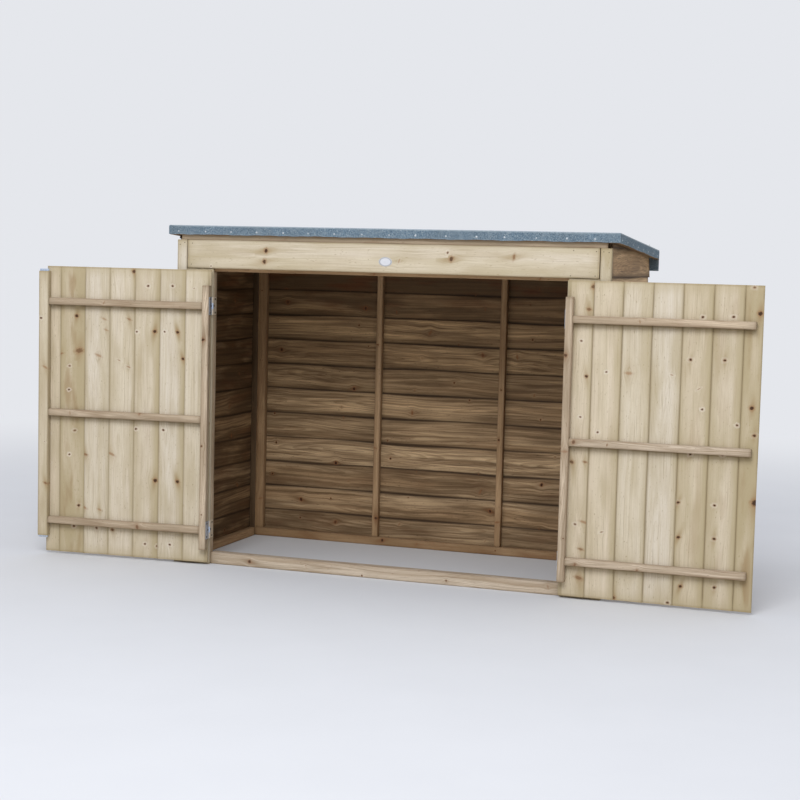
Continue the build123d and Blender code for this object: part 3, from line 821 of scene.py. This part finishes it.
LEDGE_CUT = 7
LEDGE_SHADES = {"left": 0.5, "right": 0.1}
for side in HANDS:
    base = door_base(side)
    facing = base.col[2].to_3d()
    body = f"{side}_door"
    low, high = local_box(f"{side}_door_boards", base)
    ledge_low, ledge_high = local_box(f"{side}_door_ledges", base)
    wide = high.y - HINGE_EDGE
    knots = []
    for spot, size, dark in knots_seen(DOOR_KNOTS[side], base, base.translation, facing):
        knots.append((spot.x - low.x * MM, spot.y - HINGE_EDGE * MM, size * KNOT_SPREAD, dark))
    boards = Timber(f"{side} boards")
    feet = [middle - LEDGE_HEIGHT / 2 for middle in LEDGE_MIDDLES]
    # Lines of painted shadow with dirt under the ledges, as far across as the ledges reach
    lapped_boards(
        boards, base @ Matrix.Translation(Vector((low.x, HINGE_EDGE, 0)) * MM),
        seam_places(FIRST_DOOR_BOARD[side], DOOR_EXPOSURE, wide), wide, high.x - low.x,
        DOOR_SHADES[side], DOOR_HUES[side], DOOR_EDGE_SHADES[side], knots, wave=0.6,
        damp=[foot - low.x for foot in feet], damp_end=ledge_high.y - HINGE_EDGE,
    )
    boards.piece(f"{side}_planks", f"{side}_door_boards", FRONT_LOOK, body)

    knots = knots_seen(LEDGE_KNOTS[side], base, base @ Vector((0, 0, ledge_low.z * MM)), facing)
    rows = []
    for middle, ends in zip(LEDGE_MIDDLES, slats(ledge_low, ledge_high, 0, feet, LEDGE_HEIGHT)):
        held = [knot for knot in knots if abs(knot[0].x / MM - middle) < LEDGE_HEIGHT]
        rows.append((*ends, {"knots": held}))
    own = dict(base=base, body=body, grain=1, cut=LEDGE_CUT, ease=1.5, wave=0.7, shade=LEDGE_SHADES[side])
    bars(f"{side} ledges", f"{side}_ledge_bars", f"{side}_door_ledges", LEDGE_LOOK, *rows, **own)

    node = f"{side}_door_hinge_batten"
    own = dict(base=base, body=body, grain=0, ease=2, wave=0.5, shade=0, hue=0.45)
    bars(f"{side} hinge batten", f"{side}_hinge_bar", node, LEDGE_LOOK, local_box(node, base), **own)

base = door_base("left")
strip = Timber("cover strip")
low, high = local_box("left_door_cover_strip", base)
MEETING_EDGE = local_box("left_door_boards", base)[1].y
REBATE = 6
strip_corners = [
    (low.y, high.z), (low.y, low.z), (high.y, low.z),
    (high.y, high.z - REBATE), (MEETING_EDGE, high.z - REBATE), (MEETING_EDGE, high.z),
]
foot = base @ Matrix.Translation(Vector((low.x * MM, 0, 0)))
strip.board(foot, (high.x - low.x) * MM, strip_corners, ease=1.5, shade=0.25, hue=0.4, wane=(0.3, 0.3, 14))
strip.piece("meeting_strip", "left_door_cover_strip", FRONT_LOOK, "left_door")

# Front
fascia_face = box("fascia_board")[0] * MM
knots = knots_seen(FASCIA_KNOTS, SHED, fascia_face, Y)
TRIM_SHADES = {"left": 0, "right": 1.02}
fronts = [
    ("sill", "threshold", "sill", LEDGE_LOOK, dict(grain=0, ease=2.5, wave=0.5, shade=0, hue=0)),
    ("header", "header_bar", "header_rail", (POST_WOOD, "front_wood"), dict(
        grain=0, ease=1.5, wave=0.6, shade=0.05,
    )),
    ("fascia", "fascia", "fascia_board", FRONT_LOOK, dict(
        grain=0, ease=2, wave=0.5, knots=knots, shade=0.2, hue=0.25, wane=(0.3, 0.25, 30),
    )),
    # The top rail is darker than its brown wood alone: painted shade under the roof's edge
    ("top rail", "top_rail", "front_top_rail", LEDGE_LOOK, dict(
        grain=0, ease=1.5, limit=UNDER_DECK, shade=1.1, knots=(),
    )),
]
for side in HANDS:
    for name, node, look, own in (
        ("jamb", "jamb_post", LEDGE_LOOK, dict(ease=2, wave=0.5, shade=0, hue=0.6)),
        ("upright_board", "front_panel", FRONT_LOOK, dict(ease=1, shade=0, hue=0.2)),
        ("corner_board", "corner_trim", FRONT_LOOK, dict(ease=2, shade=TRIM_SHADES[side], hue=0, knots=())),
    ):
        fronts.append((f"{side} {name}", f"{side}_{name}", f"{side}_{node}", look, dict(grain=2, **own)))
for seed, name, node, look, own in fronts:
    bars(seed, name, node, look, box(node), **own)

# Walls
WALL_WAVE = (1.5, 5)
# How much painted shade with dirt darkens each wall's inner face
INNER_SHADE_AND_DIRT = {"left": 0.5, "right": 0.34, "back": 0.34}
# The dark left wall and top back boards are partly stain and partly painted shade inside; outer faces keep
# OUTER_SHARE of it
OUTER_SHARE = 0.15
SIDE_WALL_SHADES = {"left": (0.65, 1.3), "right": (0, 0.05)}
BACK_WALL_SHADES = (0.6, 0.2, 0.5, 0.05, 0.35, 0, 0.25, 0, 0, 0.8, 1.8, 1.8)
BACK_WALL_HUES = (0, 0, 0.1, 0.1, 0.3, 0.4, 0.5, 0.6, 0.7, 0.9, 1, 1)
BACK_POST_SHADES = (0.6, 0, 0.5, 0.5)
SIDE_RAIL = 46
RAIL_GAP = 1
POST_LOOK = (POST_WOOD, "wall_wood")
WALL_LOOK = (WALL_WOOD, "wall_wood")
DECK_LOOK = (DECK_WOOD, "deck_wood")


def wall(side, node, base, length, top, shades=None, hues=None):
    """Wall of lapped boards, cut off under the roof and darker inside, partly as painted shade."""
    boards = Timber(f"{side} wall")
    seams = seam_places(WALL_EXPOSURE, WALL_EXPOSURE, top)
    if not shades:
        shades = [boards.random.uniform(*SIDE_WALL_SHADES[side]) for _ in (0, *seams)]
    own = dict(limit=UNDER_DECK, wave=WALL_WAVE, inner=INNER_SHADE_AND_DIRT[side], outer=OUTER_SHARE)
    lapped_boards(boards, base, seams, top, length, shades, hues, **own)
    boards.piece(f"{side}_wall_boards", node, WALL_LOOK)


for side, hand in HANDS.items():
    node = f"{side}_side_cladding"
    low, high = box(node)
    face = low.x if hand > 0 else high.x
    wall(side, node, axes_base((face, low.y, 0), Y, Z, X * hand), high.y - low.y, high.z)

    node = f"{side}_side_battens"
    low, high = box(node)
    ends = slats((low.x, 0, 0), high, 1, (low.y, high.y - BATTEN_WIDE), BATTEN_WIDE)
    own = dict(grain=2, ease=1.5, limit=below_roof(DECK_DEPTH + SIDE_RAIL + RAIL_GAP), shade=0.1)
    bars(f"{side} posts", f"{side}_wall_posts", node, WALL_LOOK, *ends, **own)

    front = low.y + BATTEN_WIDE
    node = f"{side}_side_rails"
    low, high = box(node)
    foot_rail = (low.x, front, 0), (high.x, high.y - BATTEN_WIDE, BATTEN_WIDE)
    foot = (low.x, low.y - ROOF_LOW.y, -DECK_DEPTH - SIDE_RAIL)
    top_rail = foot, (high.x, high.y - ROOF_LOW.y, -DECK_DEPTH), {"base": ROOF}
    bars(f"{side} rails", f"{side}_wall_rails", node, POST_LOOK, foot_rail, top_rail, grain=1, ease=1.5)

low, high = box("back_cladding")
base = axes_base((low.x, low.y, 0), X, Z, Y)
wall("back", "back_cladding", base, high.x - low.x, high.z, BACK_WALL_SHADES, BACK_WALL_HUES)

low, high = box("back_battens")
foot_top = low.z
top_foot = high.z
half = BACK_BATTEN_WIDE / 2
widths = (BATTEN_WIDE, BACK_BATTEN_WIDE, BACK_BATTEN_WIDE, BATTEN_WIDE)
rows = []
places = (low.x, -BACK_BATTEN_X - half, BACK_BATTEN_X - half, high.x - BATTEN_WIDE)
for place, wide, shade in zip(places, widths, BACK_POST_SHADES):
    rows.append(((place, low.y, low.z), (place + wide, high.y, high.z), {"shade": shade}))
bars("back posts", "back_wall_posts", "back_battens", POST_LOOK, *rows, grain=2, ease=1.5)

low, high = box("back_rails")
# The foot rail is darker: painted shade low inside the back wall, over brown wood
foot_rail = (low.x, low.y, 0), (high.x, high.y, foot_top), {"shade": 0.9}
top_rail = (low.x, low.y, top_foot), high, {"limit": UNDER_DECK}
bars("back rails", "back_wall_rails", "back_rails", POST_LOOK, foot_rail, top_rail, grain=0, ease=1.5)

# Roof
DECK_BOARDS = 20
DECK_GAP = 0.4
FELT_THICK = 2
SIDE_EDGE = 20.4
UNDER_FELT = Vector((1.6, 1.6, 0))


def roof_box(node):
    """Box of a CAD node a little inside the felt, its depth measured from the roof's front edge."""
    low, high = box(node)
    back = Vector((0, ROOF_LOW.y, 0))
    return low + UNDER_FELT - back, high - UNDER_FELT - back


low, high = roof_box("roof_deck")
step = (high.x - low.x) / DECK_BOARDS
rows = []
for left in (low.x + number * step for number in range(DECK_BOARDS)):
    rows.append(((left + DECK_GAP, low.y, -DECK_DEPTH), (left + step - DECK_GAP, high.y, -FELT_THICK)))
edge = dict(base=ROOF, wave=0.1)
bars("deck", "roof_boards", "roof_deck", DECK_LOOK, *rows, grain=1, ease=1.2, **edge)

low, high = roof_box("roof_front_batten")
ends = (low.x, low.y, -FELT_BAND), (high.x, high.y + UNDER_FELT.y, -DECK_DEPTH)
bars("front roof batten", "roof_front_edge", "roof_front_batten", DECK_LOOK, ends, grain=0, ease=1, **edge)

low, high = roof_box("roof_side_battens")
rows = slats((0, low.y, -FELT_BAND), (0, high.y, -DECK_DEPTH), 0, (low.x, high.x - SIDE_EDGE), SIDE_EDGE)
bars("side roof battens", "roof_side_edges", "roof_side_battens", DECK_LOOK, *rows, grain=1, ease=1, **edge)


# Felt
FELT_RADIUS = 3.2
FELT_INSET = 0.9
FELT_STEP = 15
FELT_SAG = 0.45
# How pale the felt sheets' side edges are made, by wear and a painted highlight
EDGE_WEAR_AND_SHEEN = 0.15
CLOUT_DIMPLE = 14
CORNER_TURNS = (pi / 8, pi / 4, 3 * pi / 8)
FOLD_TURNS = (0.4, 0.8, 1.2, pi / 2)

# The felt's band under its fold: how far in, how far down and how pale, by wear and a painted highlight
BAND_PROFILE = (
    (0, 4.5, 0.6), (0, 7, 0), (0, 12, 0), (0, 22, 0), (0, 31, 0), (0, FELT_BAND - 1.2, 0.1),
    (0.6, FELT_BAND - 0.6, 0.3), (1.4, FELT_BAND - 0.8, 0.1), (1.8, FELT_BAND - 6, 0),
)


def roof_spot(x, y, drop):
    """Place on the roof in metres, from millimetres across, back from its front edge, and below its top."""
    return ROOF @ (Vector((x, y, -drop)) * MM)


def dress_felt(name, points, faces, wear_and_sheen, *nodes):
    """Piece of felt, with how pale it is at each point, by wear and a painted highlight."""
    mesh = new_mesh(name, points, faces)
    mesh.attributes.new("felt_wear_and_sheen", "FLOAT", "POINT").data.foreach_set("value", wear_and_sheen)
    dress(name, mesh, "shed", FELT, "felt", *nodes)


def felt_cover(clouts):
    """Felt folded over the roof's edges: a top sheet, a rounded fold and a band nailed to the battens."""
    draw = random.Random("felt").uniform
    wide = ROOF_HIGH.x - FELT_INSET
    inset = FELT_RADIUS + FELT_INSET
    columns = ceil(2 * wide / FELT_STEP)
    rows = ceil(ROOF_DEEP / FELT_STEP)
    flat = wide - FELT_RADIUS
    across = [-flat + 2 * flat * column / columns for column in range(columns + 1)]
    back = [inset + (ROOF_DEEP - 2 * inset) * row / rows for row in range(rows + 1)]
    ripples = [(draw(2, 9), draw(2, 9), draw(0, 2 * pi)) for _ in range(6)]

    def sag(x, y):
        return FELT_SAG + sum(sin(a * x * MM + b * y * MM + c) for a, b, c in ripples) * 0.07

    points = [roof_spot(x, y, sag(x, y)) for y in back for x in across]
    wear_and_sheen = [0.0] * len(points)
    faces = grid_faces(columns, rows)

    # Round the sheet's border from the front left, each place with its way out
    ways = [Vector(way) for way in ((0, -1), (1, 0), (0, 1), (-1, 0))]
    border = []
    for side, way, after in zip(border_spots(columns, rows), ways, ways[1:] + ways[:1]):
        border += [(*spot, way) for spot in side]
        border += [(*side[-1], way * cos(turn) + after * sin(turn)) for turn in CORNER_TURNS]

    profile = []
    # Fold points are palest near the top of the fold: wear and a painted highlight
    for turn in FOLD_TURNS:
        profile.append((FELT_RADIUS * sin(turn), FELT_RADIUS * (1 - cos(turn)), 1 - abs(turn - 0.8)))
    profile += [(FELT_RADIUS - inward, drop, fold) for inward, drop, fold in BAND_PROFILE]
    loops = []
    for row, column, outward in border:
        x = across[column]
        y = back[row]
        start = sag(x, y)
        ragged = 0.9 * sin(x / 37 + y / 53) + 0.6 * sin(x / 11 + y / 17) + draw(-0.4, 0.4)
        slack = 0.35 * sin(x / 61 + y / 47) + 0.25 * sin(x / 23 + y / 31)
        near = min(hypot(x - clout[0], y - clout[1]) for clout in clouts)
        loops.append((row * (columns + 1) + column, range(len(points), len(points) + len(profile))))
        for reach, drop, fold in profile:
            share = min(drop / FELT_BAND, 1)
            bulge = (slack - 0.5) * share - 0.7 * exp(-(near / CLOUT_DIMPLE) ** 2) * (0.3 < share < 0.9)
            reach = reach + bulge * (drop > FELT_RADIUS)
            lift = (ragged - 1) * max(0, share - 0.5) * 2
            points.append(roof_spot(x + outward[0] * reach, y + outward[1] * reach, start + drop + lift))
            wear_and_sheen.append(fold)
    for (first, loop), (after, beside) in zip(loops, loops[1:] + loops[:1]):
        corner = [after] if first != after else []
        faces.append([first, loop[0], beside[0], *corner])
        for level in range(len(profile) - 1):
            faces.append([loop[level], loop[level + 1], beside[level + 1], beside[level]])
    dress_felt("felt_cover", points, faces, wear_and_sheen, "roof_felt")


def felt_sheet(name, corners, thick, columns, rows, warp, *nodes):
    """Thin piece of felt between four corners, warped square to its face."""
    square = (corners[1] - corners[0]).cross(corners[3] - corners[0]).normalized()
    points = []
    for layer in (0, 1):
        for row in range(rows + 1):
            for column in range(columns + 1):
                right = column / columns
                down = row / rows
                top = corners[0].lerp(corners[1], right)
                bottom = corners[3].lerp(corners[2], right)
                points.append(top.lerp(bottom, down) + square * (warp(right, down) - layer * thick) * MM)
    wide = columns + 1
    size = wide * (rows + 1)
    faces = grid_faces(columns, rows)
    faces += [[index + size for index in face[::-1]] for face in faces]
    loop = [row * wide + column for side in border_spots(columns, rows) for row, column in side[:-1]]
    for index, after in zip(loop, loop[1:] + loop[:1]):
        faces.append([after, index, index + size, after + size])
    wear_and_sheen = [EDGE_WEAR_AND_SHEEN if index % wide in (0, columns) else 0.0 for index in range(2 * size)]
    dress_felt(name, points, faces, wear_and_sheen, *nodes)


CLOUT_PIXEL_Y = 232
SIDE_CLOUTS = (40, 150, 262, 371, 486, 600, 709, 820)
BACK_CLOUTS = range(-930, 940, 155)
front_plane = Vector((0, ROOF_LOW.y * MM, 0))
front_clouts = [(photo_point(x, CLOUT_PIXEL_Y, front_plane, Y).x / MM, 0) for x in FRONT_CLOUTS]
side_clouts = [(hand * ROOF_HIGH.x, y) for hand in HANDS.values() for y in SIDE_CLOUTS]
felt_cover(front_clouts + side_clouts)

FLAP_THICK = 1.6
low, high = box("felt_back_flap")
top = high.z - 1
corners = ((low.x, top), (high.x, top), (high.x, low.z), (low.x, low.z))
flap = [Vector((x, high.y, z)) * MM for x, z in corners]


def flap_warp(right, down):
    """How far the hanging flap leaves its plane, in millimetres."""
    return -0.3 - down * (1.4 + 0.9 * sin(right * 31) + 0.5 * sin(right * 73 + 1))


def fold_warp(right, down):
    """How far a corner's tucked fold leaves its plane, in millimetres."""
    return -0.1 - 0.3 * sin(pi * right)


felt_sheet("felt_flap", flap, FLAP_THICK, 120, 6, flap_warp, "felt_back_flap")

FOLD_THICK = 1.4
FOLD_WIDE = 19
for side, hand in HANDS.items():
    outer = hand * (ROOF_HIGH.x - 1)
    inner = outer - hand * FOLD_WIDE
    corners = ((outer, 4), (inner, 5), (inner + hand * 3, 39), (outer, 40))
    fold = [roof_spot(x, 0, drop) for x, drop in corners]
    if hand > 0:
        fold = [fold[1], fold[0], fold[3], fold[2]]
    felt_sheet(f"{side}_felt_wear_and_sheen", fold, FOLD_THICK, 4, 6, fold_warp)


# Fixings
NAIL_RADIUS = 2.2


def disc(spot, right, up, facing, rings, sides):
    """Points of a round form, in rings by their share of its size and their height in millimetres."""
    turns = [2 * pi * side / sides for side in range(sides)]
    points = []
    for size, height in rings:
        for turn in turns:
            points.append(spot + ((right * cos(turn) + up * sin(turn)) * size + facing * height) * MM)
    return points


class Fixings:
    """Round heads gathered into one mesh."""

    def __init__(self):
        self.points = []
        self.faces = []

    def head(self, spot, facing, radius, proud, sides=10, slot=False):
        """Head of a nail or screw at a place, facing a way, in millimetres above the surface."""
        facing = facing.normalized()
        right = facing.orthogonal().normalized()
        up = facing.cross(right)
        rings = ((1, -0.6), (1, proud * 0.55), (0.82, proud), (0.35, proud * (0.5 if slot else 1.08)))
        self.faces += ring_faces(len(rings), sides, len(self.points))
        self.points += disc(spot, right * radius, up * radius, facing, rings, sides)

    def nail(self, x, y, z, facing, proud):
        """Nail head at a place in millimetres."""
        self.head(Vector((x, y, z)) * MM, facing, NAIL_RADIUS, proud)

    def piece(self, name, body, material):
        dress(name, new_mesh(name, self.points, self.faces), body, material, "zinc")


CLOUT_SIDES = 12
FRONT_CLOUT_RADII = (3.1, 4.4)
SIDE_CLOUT_RADIUS = 3.6
BACK_CLOUT_RADIUS = 4
CLOUT_OUT = FELT_INSET + 0.6
CLOUT_DROP = FELT_BAND * 0.66
BACK_CLOUT_DROP = FELT_BAND * 0.5
heads = Fixings()
draw = random.Random("clouts").uniform
for x, _ in front_clouts:
    heads.head(roof_spot(x, CLOUT_OUT, CLOUT_DROP), -Y, draw(*FRONT_CLOUT_RADII), 0.8, CLOUT_SIDES)
for x, y in side_clouts:
    inward = -CLOUT_OUT if x > 0 else CLOUT_OUT
    heads.head(roof_spot(x + inward, y, CLOUT_DROP), X * x, SIDE_CLOUT_RADIUS, 0.6, CLOUT_SIDES)
for x in BACK_CLOUTS:
    heads.head(roof_spot(x, ROOF_DEEP - 1.2, BACK_CLOUT_DROP), Y, BACK_CLOUT_RADIUS, 0.6, CLOUT_SIDES)
heads.piece("clout_nails", "shed", NAIL_ZINC)

FLUSH = 0.15
DOOR_PROUD = 0.25
WALL_PROUD = 0.5
WALL_NAIL_INSET = 1.6
ABOVE_LAP = 24
SIDE_NAIL_INSETS = (18, 30)
BACK_NAIL_INSET = 34
TRIM_NAIL_SHARES = (0.27, 0.73)
TRIM_NAIL_HEIGHTS = range(60, 1390, 220)
PANEL_NAIL_HEIGHTS = range(90, 1260, 285)
PANEL_NAIL_OUT = 40
DOOR_NAIL_PLACES = (22, 84)
draw = random.Random("nails").uniform
heads = Fixings()
for x, y in FASCIA_NAILS:
    heads.head(photo_point(x, y, fascia_face, Y), -Y, NAIL_RADIUS, FLUSH)
for side, hand in HANDS.items():
    low, high = box(f"{side}_corner_trim")
    for z in TRIM_NAIL_HEIGHTS:
        for share in TRIM_NAIL_SHARES:
            heads.nail(low.x + (high.x - low.x) * share, low.y, z + draw(-12, 12), -Y, FLUSH)
    low, high = box(f"{side}_front_panel")
    line = (low.x + high.x) / 2 - hand * PANEL_NAIL_OUT
    for z in PANEL_NAIL_HEIGHTS:
        heads.nail(line, low.y, z + draw(-9, 9), -Y, FLUSH)
    low, high = box(f"{side}_side_cladding")
    face = (high.x if hand > 0 else low.x) - hand * WALL_NAIL_INSET
    for seam in seam_places(0, WALL_EXPOSURE, high.z):
        for y in (low.y + SIDE_NAIL_INSETS[0], high.y - SIDE_NAIL_INSETS[1]):
            heads.nail(face, y + draw(-4, 4), seam + ABOVE_LAP, X * hand, WALL_PROUD)
low, high = box("back_cladding")
for seam in seam_places(0, WALL_EXPOSURE, high.z):
    for x in (low.x + BACK_NAIL_INSET, -BACK_BATTEN_X, BACK_BATTEN_X, high.x - BACK_NAIL_INSET):
        heads.nail(x + draw(-5, 5), high.y - WALL_NAIL_INSET, seam + ABOVE_LAP, Y, WALL_PROUD)
heads.piece("wall_nails", "shed", NAIL_STEEL)

for side in HANDS:
    base = door_base(side)
    high = local_box(f"{side}_door_boards", base)[1]
    heads = Fixings()
    for seam in (0, *seam_places(FIRST_DOOR_BOARD[side], DOOR_EXPOSURE, high.y - HINGE_EDGE)):
        for middle in LEDGE_MIDDLES:
            for place in DOOR_NAIL_PLACES:
                along = HINGE_EDGE + seam + place
                if along > high.y - 8:
                    continue
                out = BOARD_THICK + BOARD_THIN - BOARD_THICK * place / (DOOR_EXPOSURE + BOARD_LAP)
                spot = base @ (Vector((middle + draw(-6, 6), along, out)) * MM)
                heads.head(spot, base.col[2].to_3d(), NAIL_RADIUS, DOOR_PROUD)
    heads.piece(f"{side}_door_nails", f"{side}_door", NAIL_STEEL)

# Hinge screws, by their height up the leaf and their distance from the pin.
# Their heads are large and black, partly painted shade at the ends of the leaves.
LEAF_SCREWS = ((9, 27), (38, 14), (67, 27))
LEAF_HALF = 38
LEAF_FACE_X = 773
SCREW_RADIUS = 4.6
SCREW_PROUD = 0.3
SCREW_SIDES = 14
for side, hand in HANDS.items():
    for leaf, body in (("frame", "shed"), ("door", f"{side}_door")):
        pin_y = JOINTS[f"{side}_door_hinge"]["pos_m"][1] / MM
        base = door_base(side)
        heads = Fixings()
        for foot in (LEDGE_MIDDLES[0] - LEAF_HALF, LEDGE_MIDDLES[-1] - LEAF_HALF):
            for up, out in LEAF_SCREWS:
                spot = Vector((hand * LEAF_FACE_X, pin_y + out, foot + up)) * MM
                facing = X * -hand
                if leaf == "door":
                    spot = base @ (Vector((foot + up, 1, DOOR_INNER - out)) * MM)
                    facing = -base.col[1].to_3d()
                heads.head(spot, facing, SCREW_RADIUS, SCREW_PROUD, SCREW_SIDES, slot=True)
        heads.piece(f"{side}_{leaf}_hinge_screws", body, SCREW_BLACK)

# Frame leaves take the tan zinc, whose tint is a painted reflection of the wood
for name in (
    "left_hinge_frame_leaves", "right_hinge_frame_leaves", "left_hinge_door_leaves",
    "right_hinge_door_leaves", "left_door_bolts", "right_door_pad_bolt", "left_door_bolt_keep",
):
    materials = frame["nodes"][name].data.materials
    materials.clear()
    materials.append(TAN_ZINC if "frame" in name else ZINC)

# Bare oval plate
PLATE_SIDES = 48
PLATE_RINGS = ((1, 0), (1, 0.9), (0.95, 1.4), (0.88, 1.4), (0.85, 1), (0.8, 1), (0.4, 1.2))
spot = photo_point(*PLATE_PIXEL, fascia_face, Y)
points = disc(spot, X * PLATE_SIZE[0] / 2, Z * PLATE_SIZE[1] / 2, -Y, PLATE_RINGS, PLATE_SIDES)
mesh = new_mesh("oval_plate", points, ring_faces(len(PLATE_RINGS), PLATE_SIDES))
shader = Shader("plate_paint")
place = shader.place()
middle = shader.vector("SUBTRACT", place, spot)
flat = shader.vector("MULTIPLY", middle, (2 / (PLATE_SIZE[0] * MM), 0, 2 / (PLATE_SIZE[1] * MM)))
reach = shader.vector("LENGTH", flat, output="Value")
white = shader.blend(shader.noise(place, 120, 3), (226, 230, 240), (208, 213, 224))
line = shader.ramp(reach, 0.72, 0.84) * shader.ramp(reach, 0.88, 0.96, 0.75, 0.35)
colour = shader.blend(line, white, (148, 152, 160))
look = (shader.finish(colour, 0.42, shader.noise(place, 700), 0.05, 0.4), "zinc")
dress("oval_plate", mesh, "shed", *look)

# Floor and light
FLOOR_REACH = 40
FLOOR_DROP = 0.5
FLOOR_FADE = (2.4, 7)
BACKDROP = (229, 231, 236)
SKY_STRENGTH = (0.38, 0.95)
corners = ((-1, -1), (1, -1), (1, 1), (-1, 1))
corners = [(x * FLOOR_REACH, y * FLOOR_REACH, -FLOOR_DROP * MM) for x, y in corners]
floor = add("floor", new_mesh("floor", corners, [[0, 1, 2, 3]]))
stone = Shader("floor")
place = stone.out("NewGeometry", (), "Position")
far = stone.vector("LENGTH", place, output="Value")
seen = stone.out("LightPath", (), "Is Camera Ray")
slab = stone.blend(stone.noise(place, 3, 4), (209, 212, 218), (214, 217, 223))
stone.feed(stone.surface.inputs["Base Color"], stone.blend(seen, (210, 206, 199), slab))
stone.feed(stone.surface.inputs["Roughness"], 0.85)
glow = stone.out("Emission", (BACKDROP, 1))
both = stone.out("MixShader", (stone.ramp(far, *FLOOR_FADE) * seen, stone.surface.outputs[0], glow))
stone.feed(stone.tree.nodes["Material Output"].inputs["Surface"], both)
floor.data.materials.append(stone.material)

world = bpy.data.worlds.new("studio")
bpy.context.scene.world = world
world.use_nodes = True
sky = Graph(world.node_tree)
height = sky.split(sky.out("TexCoord", (), "Generated"))[2]
ground = sky.tree.nodes["Background"]
sky.feed(ground.inputs["Color"], sky.blend(sky.ramp(height, 0, 0.6), (255, 243, 228), (250, 251, 255)))
sky.feed(ground.inputs["Strength"], sky.ramp(height, 0, 0.9, *SKY_STRENGTH))
path = sky.node("LightPath").outputs
sharp = sky.math("MAXIMUM", path["Is Camera Ray"], path["Is Glossy Ray"])
mixed = sky.out("MixShader", (sharp, ground.outputs[0], sky.out("Background", [BACKDROP])))
sky.feed(sky.tree.nodes["World Output"].inputs["Surface"], mixed)

# One soft square lamp, above and in front
KEY_PLACE = Vector((0.6, -5, 5.4))
KEY_TARGET = Vector((0, 0, 0.6))
lamp = bpy.data.lights.new("key", "AREA")
lamp.shape = "SQUARE"
lamp.size = 2.8
lamp.energy = 222
lamp.color = (1, 0.995, 0.985)
light = add("key", lamp)
light.location = KEY_PLACE
light.rotation_euler = (KEY_TARGET - KEY_PLACE).to_track_quat("-Z", "Y").to_euler()
